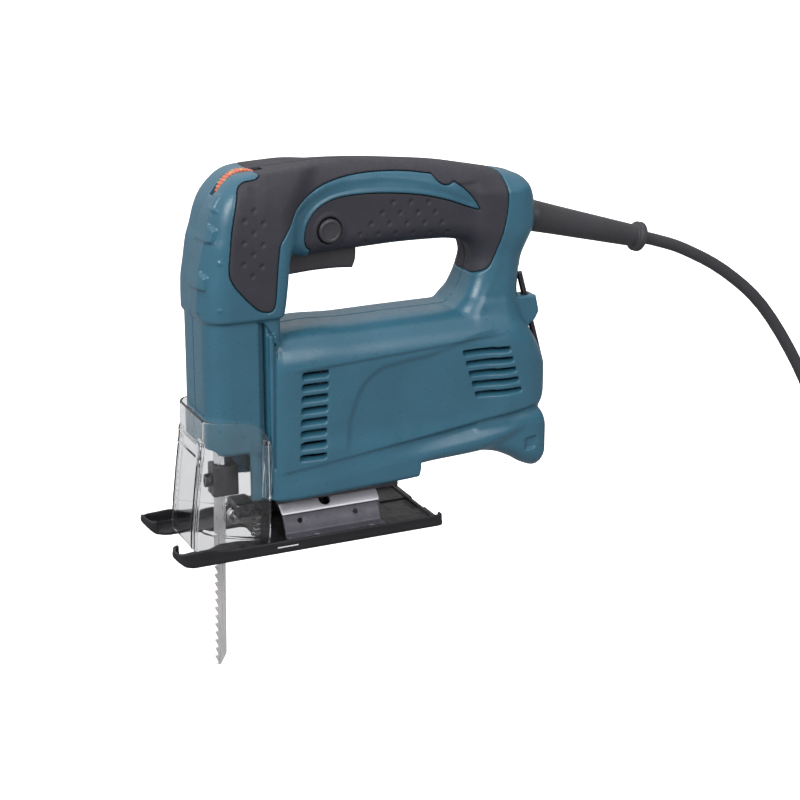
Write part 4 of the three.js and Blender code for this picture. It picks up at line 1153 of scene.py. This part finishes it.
def slot_through(g):
    """The arc slot for the clamp bolt, across the top of the arch."""
    angle = np.degrees(np.arctan2(g.x, np.maximum(g.z, 0.1)))
    radius = np.hypot(g.x, g.z)
    middle = (SLOT["near"] + SLOT["far"]) / 2
    reach = (SLOT["near"] - SLOT["far"]) / 2
    off = np.maximum(np.abs(angle - middle) - reach, 0) * math.pi / 180 * radius
    return np.hypot(off, g.y - SLOT["y"]) - SLOT["half"]


def make_arch():
    g = Grid((-24, -13, 12.6), (24, 46, 24.5), 0.45, 0.9)
    radius = np.hypot(g.x, g.z)
    ends = np.maximum(ARCH["y0"] - g.y, g.y - ARCH["y1"])
    band = kept(kept(radius - ARCH["out"], ARCH["in"] - radius, 0.3), ends, 0.7)
    band = kept(band, ARCH["low"] - g.z, 0.7)
    made = carved(carved(band, slot_through(g), 0.6), ball(g, (9.7, 28, 21.6), 1.8), 0.3)
    return field_piece("arch_tube", made, g, PLATED, "shoe", ("bevel_arch",))


def make_bracket():
    """The half tube under the arch and its two feet on the shoe, with holes and spot welds."""
    g = Grid((-31.4, -13, 1.4), (31.4, 46.4, 22), 0.45, 0.9)
    sides = g.folded()
    radius = np.hypot(g.x, g.z)
    ends = np.maximum(ARCH["y0"] + 0.6 - g.y, g.y - ARCH["y1"] + 0.4)
    liner = kept(kept(radius - LINER["out"], LINER["in"] - radius, 0.3), LINER["low"] - g.z, 0.5)
    foot = np.maximum(LINER["in"] - 0.05 - sides.x, sides.x - FOOT["reach"])
    foot = kept(foot, np.abs(g.z - FOOT["z"]) - FOOT["half"], 0.4)
    made = kept(joined(liner, foot, 1.0), ends, 0.7)
    made = carved(made, slot_through(g), 0.6)
    for y in FOOT["hole_ys"]:
        hole = np.hypot(sides.x - FOOT["hole_x"], g.y - y) - 2.0
        made = carved(made, np.maximum(hole, 9 - g.z * 3), 0.4)
    for y in (-1.6, 29.9):
        made = carved(made, bar(sides, (12, y, 8.6), (24, y, 12.4), 1.25), 0.3)
    return field_piece("arch_bracket", made, g, BRACKET, "shoe", ("bevel_bracket",))


# ---------- blade ----------
BLADE_FORM = {
    "back": -36.4, "front": -42.9, "tip": -72.0, "top": 40.6, "teeth": 14, "pitch": 4.7, "half": 0.55,
    "set": 0.28, "lean": 0.024,
}


def make_blade():
    """A tanged blade leaning a little: teeth milled along its front edge, set to alternate sides."""
    b = BLADE_FORM
    back, front, tip = b["back"], b["front"], b["tip"]
    line = [(back, b["top"]), (back, tip + 6.0), (back - 3.2, tip), (front + 0.6, tip)]
    tips = []
    for i in range(b["teeth"]):
        z = tip + 1 + i * b["pitch"]
        line += [(front + 1.9, z), (front + 1.7, z + 0.8)]
        tips.append(len(line))
        line.append((front, z + b["pitch"] - 0.5))
    end = tip + 1 + b["teeth"] * b["pitch"]
    line += [(front + 1.5, end), (front + 0.2, end + 1.5), (front + 0.2, 24), (front + 1.2, b["top"])]
    line = [(y + b["lean"] * min(z - 20, 0), z) for y, z in line]
    points, faces = prism(line, -b["half"], b["half"])
    for k, i in enumerate(tips):
        points[[i, i + len(line)], 0] += b["set"] if k % 2 else -b["set"]
    return made_piece("blade", (points, faces), BLADE, "plunger", ("saw_blade",), 0.12)


def make_retainer():
    """The roller's fork and its arm, with a screw recess on the near face."""
    g = Grid((-9, -34.5, 11.5), (9, -15.5, 22), 0.35, 0.7)
    head = block(g, (-8, -33.2, 12.8), (8, -22.6, 20.5), 1.3)
    arm = block(g, (-5.2, -25, 14.6), (5.2, -16.4, 19.8), 1.0)
    made = joined(head, arm, 1.5)
    made = carved(made, block(g, (-2.8, -40, 5), (2.8, -25.8, 17.2), 0.4), 0.4)
    made = carved(made, bar(g, (6.9, -27.6, 17.6), (9, -27.6, 17.6), 1.9), 0.3)
    return field_piece("retainer_fork", made, g, DARK, "housing", ("retainer_arm",))


def make_roller():
    """The guide wheel, grooved for the blade's back."""
    profile = [
        (1.75, 0), (4.0, 0), (4.0, 1.2), (3.55, 1.8), (3.55, 2.8), (4.0, 3.4), (4.0, 4.6), (1.75, 4.6),
    ]
    solid = lathed(profile, (-2.3, -31.6, 12), (1, 0, 0), 40)
    return made_piece("roller_wheel", solid, BRIGHT, "roller", ("guide_roller",), 0.15)


# ---------- controls ----------
TRIGGER_SIDE = [
    (-4.5, 139.6), (4, 140.2), (14, 140.7), (26, 140.6), (34.2, 139.9), (36, 145), (36.2, 153.4), (30.2, 154),
    (30, 156), (-4.5, 156),
]
def make_trigger():
    """The trigger's pad, ribbed across where the finger rests."""
    g = Grid((-8.6, -6, 137), (8.6, 38, 157.5), 0.4, 0.8)
    side = curved(TRIGGER_SIDE, (0, 4, 6, 7, 8, 9))
    body = kept(outline(g.y, g.z, side), np.abs(g.x) - TRIGGER["half"], 2.4)
    for k in range(6):
        ridge = np.hypot(g.y - 6.4 - 3.8 * k, g.z - 140.4) - 0.45
        body = carved(body, np.maximum(ridge, np.abs(g.x) - 5.6), 0.5)
    return field_piece("trigger_lever", body, g, NYLON, "trigger_body", ("trigger",))


def make_button():
    profile = rounded_profile([
        (0.02, -0.1, 0), (6.2, -0.1, 0.3), (6.2, 5.6, 1.1),
        (4.6, 5.95, 0.6), (4.2, 5.55, 0.6), (0.02, 5.2, 0),
    ])
    solid = lathed(profile, (13.6, BUTTON["y"], BUTTON["z"]), (1, 0, 0), 56)
    return made_piece("lock_on_button", solid, NYLON, "button_body", ("lock_button",), 0, 50)


def make_dial():
    """A knurled thumb wheel with a hub, on the near side of the seam."""
    ridges, y, z, high = 44, DIAL["y"], DIAL["z"], DIAL["r"]
    low = high - 0.4
    ring = []
    for i in range(ridges):
        for part, r in ((-0.3, low), (-0.18, high), (0.18, high), (0.3, low)):
            t = (i + part) * 2 * math.pi / ridges
            ring.append((y + r * math.cos(t), z + r * math.sin(t)))
    hub = lathed([(3.4, 0), (3.4, 7.4), (2.4, 7.4), (2.4, 9.4)], (-2.6, y, z), (1, 0, 0), 32)
    solid = several(prism(ring, DIAL["x0"], DIAL["x1"]), hub)
    return made_piece("dial_wheel", solid, DIAL_LOOK, "dial_body", ("speed_dial",), 0.2, 40)


def make_guard():
    profile = rounded_profile([
        (4.0, 0.2, 0), (9.4, 0.2, 0.5), (9.4, 3.0, 0.5), (7.8, 3.3, 0.3), (7.8, 16, 0), (8.5, 18, 1.5),
        (7.9, 32, 8), (7.0, 58, 20), (6.1, 84.6, 0.8), (6.2, 85.4, 0.5), (8.2, 86.0, 0.8), (8.4, 89.4, 0.9),
        (6.2, 90.2, 0.6), (5.2, 91.4, 0.5), (3.62, 91.4, 0),
    ], 5)
    solid = lathed(profile, GUARD_START, GUARD_WAY, 56)
    return made_piece("cord_sleeve", solid, RUBBER, "housing", ("cord_guard",), 0, 40)


def make_wrench():
    """An L-shaped hexagon key, its foot turned in behind the handle's root."""
    top, bend = (np.array((WRENCH["x"], *WRENCH[place])) for place in ("top", "bend"))
    way = (bend - top) / np.linalg.norm(bend - top)
    out = np.array((-1.0, 0.0, 0.0))
    turn = 3.0
    line = [top, top + (bend - top) * 0.5]
    for t in np.linspace(0, math.pi / 2, 9):
        line.append(bend + way * turn * (math.sin(t) - 1) + out * turn * (1 - math.cos(t)))
    line.append(line[-1] + out * WRENCH["foot"])
    solid = swept(line, circle(WRENCH["radius"], 6))
    return made_piece("hex_key", solid, DARK, "wrench", ("hex_wrench",), 0.14, 40)


def make_screws():
    """Pan-head screws with a cross recess, deep in the far half's wells."""
    for i, (y, z) in enumerate(SCREWS):
        g = Grid((-12, y - 3.6, z - 3.6), (10, y + 3.6, z + 3.6), 0.3, 0.5)
        v, w = g.y - y, g.z - z
        head = kept(ball(g, (-6.2, y, z), 4.6), np.hypot(v, w) - 3.1, 0.5)
        head = kept(head, g.x + 8.45, 0.3)
        thread = 0.16 * np.sin((g.x + np.arctan2(w, v) / (2 * math.pi)) * 2 * math.pi)
        shank = bar(g, (-9, y, z), (9, y, z), 1.42) + thread * ramp(g.x, -6, -5)
        shank = np.maximum(shank, g.x - 9)
        upright = np.maximum(np.abs(v) - 0.45, np.abs(w) - 1.7)
        level = np.maximum(np.abs(w) - 0.45, np.abs(v) - 1.7)
        cross = np.maximum(np.minimum(upright, level), g.x + 9.6)
        made = carved(np.minimum(head, shank), cross, 0.2)
        number = i + 1
        field_piece(f"screw_{number}", made, g, DARK, "housing", (f"housing_screw_{number}",))


# ---------- plug ----------
PLUG = {"x": 61.0, "y0": 378.0, "y1": 412.0, "z": -46.9, "pin_x": 8.6}


def make_plug():
    """A moulded two-pin plug: body with finger ribs, ringed neck, two pins."""
    x, z, y0, y1 = PLUG["x"], PLUG["z"], PLUG["y0"], PLUG["y1"]
    g = Grid((x - 12.5, 366, z - 9), (x + 12.5, y1 + 1.5, z + 9), 0.5, 0.9)
    side, up, along = g.x - x, g.z - z, g.y - y0
    tall = through([(0, 3.6), (10, 5.6), (26, 7.2), (y1 - y0, 7.4)], 1, along)
    wide = through([(0, 6.0), (9, 8.6), (22, 10.6), (y1 - y0, 11.0)], 1, along)
    body = kept(rounded_section(side, up, wide, -tall, tall, 4.2, 4.2), np.maximum(-along, g.y - y1), 1.6)
    for k in range(5):
        finger = 1 - ramp(np.abs(along - 12 - 3.2 * k), 0.4, 1.3)
        body = body + 0.55 * finger * ramp(np.abs(up), 3, 5)
    neck = np.hypot(side + (4 - along) * 0.06, up + (4 - along) * 0.09)
    rings = 0.3 * np.cos(along * 2 * math.pi / 2.6)
    neck = np.maximum(neck - 5.0 - along * 0.06 - rings, np.maximum(368.5 - g.y, along - 4))
    made = joined(body, neck, 1.5)
    plug = field_piece("mains_plug", made, g, RUBBER, "housing", ("plug_body",))
    profile = rounded_profile([(2.0, 0, 0), (2.0, 14.6, 1.1), (0.02, 14.6, 0)])
    pins = []
    for number, off in ((1, PLUG["pin_x"]), (2, -PLUG["pin_x"])):
        solid = lathed(profile, (x + off, y1 + 0.3, z), (0, 1, 0), 28)
        node = (f"plug_pin_{number}",)
        pins.append(made_piece(f"mains_pin_{number}", solid, BRIGHT, "housing", node, 0, 50))
    return [plug] + pins


# ---------- finishes on the CAD pieces that stay ----------
SHARP = 34.0


def edge_smoothing():
    """A node group that welds a faceted mesh and shades it smooth but for its sharp edges."""
    group = bpy.data.node_groups.new("edge_smoothing", "GeometryNodeTree")
    for way in ("INPUT", "OUTPUT"):
        group.interface.new_socket("Geometry", in_out=way, socket_type="NodeSocketGeometry")
    nodes, links = group.nodes, group.links
    plain = nodes.new("GeometryNodeRemoveAttribute")
    plain.inputs["Name"].default_value = "custom_normal"
    weld = nodes.new("GeometryNodeMergeByDistance")
    weld.inputs["Distance"].default_value = 0.01 * MM
    faces = nodes.new("GeometryNodeSetShadeSmooth")
    edges = nodes.new("GeometryNodeSetShadeSmooth")
    edges.domain = "EDGE"
    angle = nodes.new("GeometryNodeInputMeshEdgeAngle")
    below = nodes.new("FunctionNodeCompare")
    below.operation = "LESS_THAN"
    below.inputs["B"].default_value = math.radians(SHARP)
    links.new(angle.outputs["Unsigned Angle"], below.inputs["A"])
    links.new(below.outputs["Result"], edges.inputs["Shade Smooth"])
    chain = [nodes.new("NodeGroupInput"), plain, weld, faces, edges, nodes.new("NodeGroupOutput")]
    for before, after in zip(chain, chain[1:]):
        links.new(before.outputs[0], after.inputs[0])
    return group


STAYING = [
    # the gear housing gets the alloy darkened with painted shade for the gap under the body
    (PAINTED_SHADE_ALLOY, {"gear_housing": 0.5}),
    (CORE, {"stator_core": 0.2, "armature_core": 0.2}),
    (COPPER, {"field_coil_upper": 1.2, "field_coil_lower": 1.2, "commutator": 0.2}),
    (BRIGHT, {"front_bearing": 0.3, "rear_bearing": 0.3, "armature_shaft": 0.3, "crank_pin": 0.25}),
    (BRIGHT, {"gear_shaft": 0.3, "plunger_rod": 0.4, "roller_pin": 0.2}),
    (BRONZE, {"brush_holder_left": 0.3, "brush_holder_right": 0.3}),
    (BRONZE, {"bushing_upper": 0.3, "bushing_lower": 0.3}),
    (CARBON, {"brush_left": 0.2, "brush_right": 0.2}),
    (NYLON, {"cooling_fan": 0.3, "power_switch": 0.5, "speed_module": 0.5, "cord_clamp": 0.5}),
    (ROLLED, {"motor_pinion": 0.12, "crank_gear": 0.15, "scotch_yoke": 0.4, "clamp_washer": 0.15}),
    (ROLLED, {"nut_plate": 0.4}),
    (DARK, {"blade_clamp": 0.6, "clamp_screw": 0.35, "clamp_bolt": 0.35}),
]


def finish_staying():
    """A material, smooth shading and broken edges for every CAD piece that isn't replaced."""
    smoothing = edge_smoothing()
    for look, bevels in STAYING:
        for name, bevel in bevels.items():
            node = NODES[name]
            for slot in node.material_slots:
                slot.material = look
            node.modifiers.new("smooth", "NODES").node_group = smoothing
            break_edges(node, bevel, SHARP)


for make in (
    make_housing, make_cover, make_shoe, make_scale_mark, make_arch, make_bracket, make_blade, make_retainer,
    make_roller, make_trigger, make_button, make_dial, make_guard, make_wrench, make_screws, finish_staying,
):
    make()


# ---------- mains cord ----------
CORD_D = 7.0
COIL = {"x": 22.0, "y": 392.0, "r": 40.0, "low": FLOOR_Z + 10.5, "ring": 6.95}
COIL_START, COIL_TURNS = math.radians(-72), 6.02


def coil_point(turn):
    """A point of the coil: it winds round an inner ring, then rises to its end on top."""
    around = COIL_START + 2 * math.pi * turn
    tilt = math.radians(90 + 60 * min(turn, 5.6))
    lift = float(ramp(turn, 5.45, 5.8))
    radius = COIL["r"] + COIL["ring"] * math.cos(tilt) * (1 - lift) - 6.6 * lift
    up = COIL["ring"] * math.sin(tilt) * (1 - lift) + 10.7 * lift
    return COIL["x"] + radius * math.cos(around), COIL["y"] + radius * math.sin(around), COIL["low"] + up


def cord_points():
    """The cord's line: along the guard, down to the floor, then a coil that ends in the plug."""
    route = [tuple(on_guard(d)) for d in (72, 90, 100)]
    route += [(0, 240, 127.6), (0, 268, 112), (0, 296, 88), (2, 322, 50), (4, 340, 12), (5.5, 349, -18)]
    route += [(11, 353.2, -41), (21, 353.4, -54.2)]
    steps = int(26 * COIL_TURNS)
    turns = [coil_point(COIL_TURNS * i / steps) for i in range(steps + 1)]
    tail = [(54.5, 366.5, -51.5), (60, 374.5, -47.6), (61, 380, -46.9), (61, 386, -46.9)]
    return np.array(route + turns + tail)


def smooth_line(points, steps):
    """A Catmull-Rom line through the points."""
    ends = np.vstack([2 * points[0] - points[1], points, 2 * points[-1] - points[-2]])
    made = []
    for i in range(1, len(ends) - 2):
        a, b, c, d = ends[i - 1:i + 3]
        for t in np.arange(steps) / steps:
            bend = (2 * a - 5 * b + 4 * c - d) * t * t + (3 * b - a - 3 * c + d) * t ** 3
            made.append(0.5 * (2 * b + (c - a) * t + bend))
    return np.array(made + [points[-1]])


def make_cord():
    points = smooth_line(cord_points(), 4)
    data = bpy.data.curves.new("mains_lead", "CURVE")
    data.dimensions = "3D"
    data.bevel_depth = CORD_D / 2 * MM
    data.bevel_resolution = 5
    data.use_fill_caps = True
    line = data.splines.new("POLY")
    line.points.add(len(points) - 1)
    line.points.foreach_set("co", np.hstack([points * MM, np.ones((len(points), 1))]).astype(F32).ravel())
    line.use_smooth = True
    return dressed("mains_lead", data, RUBBER, "housing", ("mains_cord", "cord_coil"))


cord = make_cord()
make_plug()


# ---------- floor and light ----------
FLOOR_REACH = 60.0


def make_floor():
    """A floor in metres, half a millimetre below the lowest cord."""
    mesh = bpy.data.meshes.new("floor")
    low = (FLOOR_Z - 0.5) * MM
    corners = [(x * FLOOR_REACH, y * FLOOR_REACH, low) for x, y in ((-1, -1), (1, -1), (1, 1), (-1, 1))]
    mesh.from_pydata(corners, [], [(0, 1, 2, 3)])
    floor = bpy.data.objects.new("floor", mesh)
    mesh.materials.append(studio_floor())
    bpy.context.scene.collection.objects.link(floor)


SKY_WAY = (-0.30, -0.20, 0.93)
SKY_BANK = (-0.1, 0.95, 0.20, 1.05)  # from and to on the way up to the bank, strength at each
BACKDROP = 1.6


def make_studio():
    """White behind the object; around it, a soft bank of light overhead and to the left."""
    world = bpy.data.worlds.new("studio")
    world.use_nodes = True
    nodes, links = world.node_tree.nodes, world.node_tree.links
    facing = nodes.new("ShaderNodeVectorMath")
    facing.operation = "DOT_PRODUCT"
    facing.inputs[1].default_value = SKY_WAY
    links.new(nodes.new("ShaderNodeTexCoord").outputs["Generated"], facing.inputs[0])
    bank = nodes.new("ShaderNodeMapRange")
    bank.interpolation_type = "SMOOTHSTEP"
    for socket, value in zip(("From Min", "From Max", "To Min", "To Max"), SKY_BANK):
        bank.inputs[socket].default_value = value
    links.new(facing.outputs["Value"], bank.inputs["Value"])
    mix = nodes.new("ShaderNodeMix")
    mix.inputs["B"].default_value = BACKDROP
    links.new(seen_straight(nodes, links), mix.inputs["Factor"])
    links.new(bank.outputs["Result"], mix.inputs["A"])
    background = nodes["Background"]
    background.inputs["Color"].default_value = (1.0, 0.99, 1.0, 1.0)
    links.new(mix.outputs["Result"], background.inputs["Strength"])
    bpy.context.scene.world = world


def make_sun(name, toward, power, angle):
    """Soft parallel light from a direction, so that the floor is lit evenly."""
    data = bpy.data.lights.new(name, "SUN")
    data.energy = power
    data.angle = math.radians(angle)
    light = bpy.data.objects.new(name, data)
    light.location = toward
    light.rotation_euler = (-Vector(toward)).to_track_quat("-Z", "Y").to_euler()
    bpy.context.scene.collection.objects.link(light)


make_floor()
make_studio()
make_sun("key", (0.45, -0.80, 0.62), 1.8, 30)
make_sun("front", (0.85, 0.10, 0.60), 1.25, 36)
make_sun("top", (-0.25, 0.1, 1.0), 0.3, 60)
bpy.context.scene.view_settings.view_transform = "Standard"
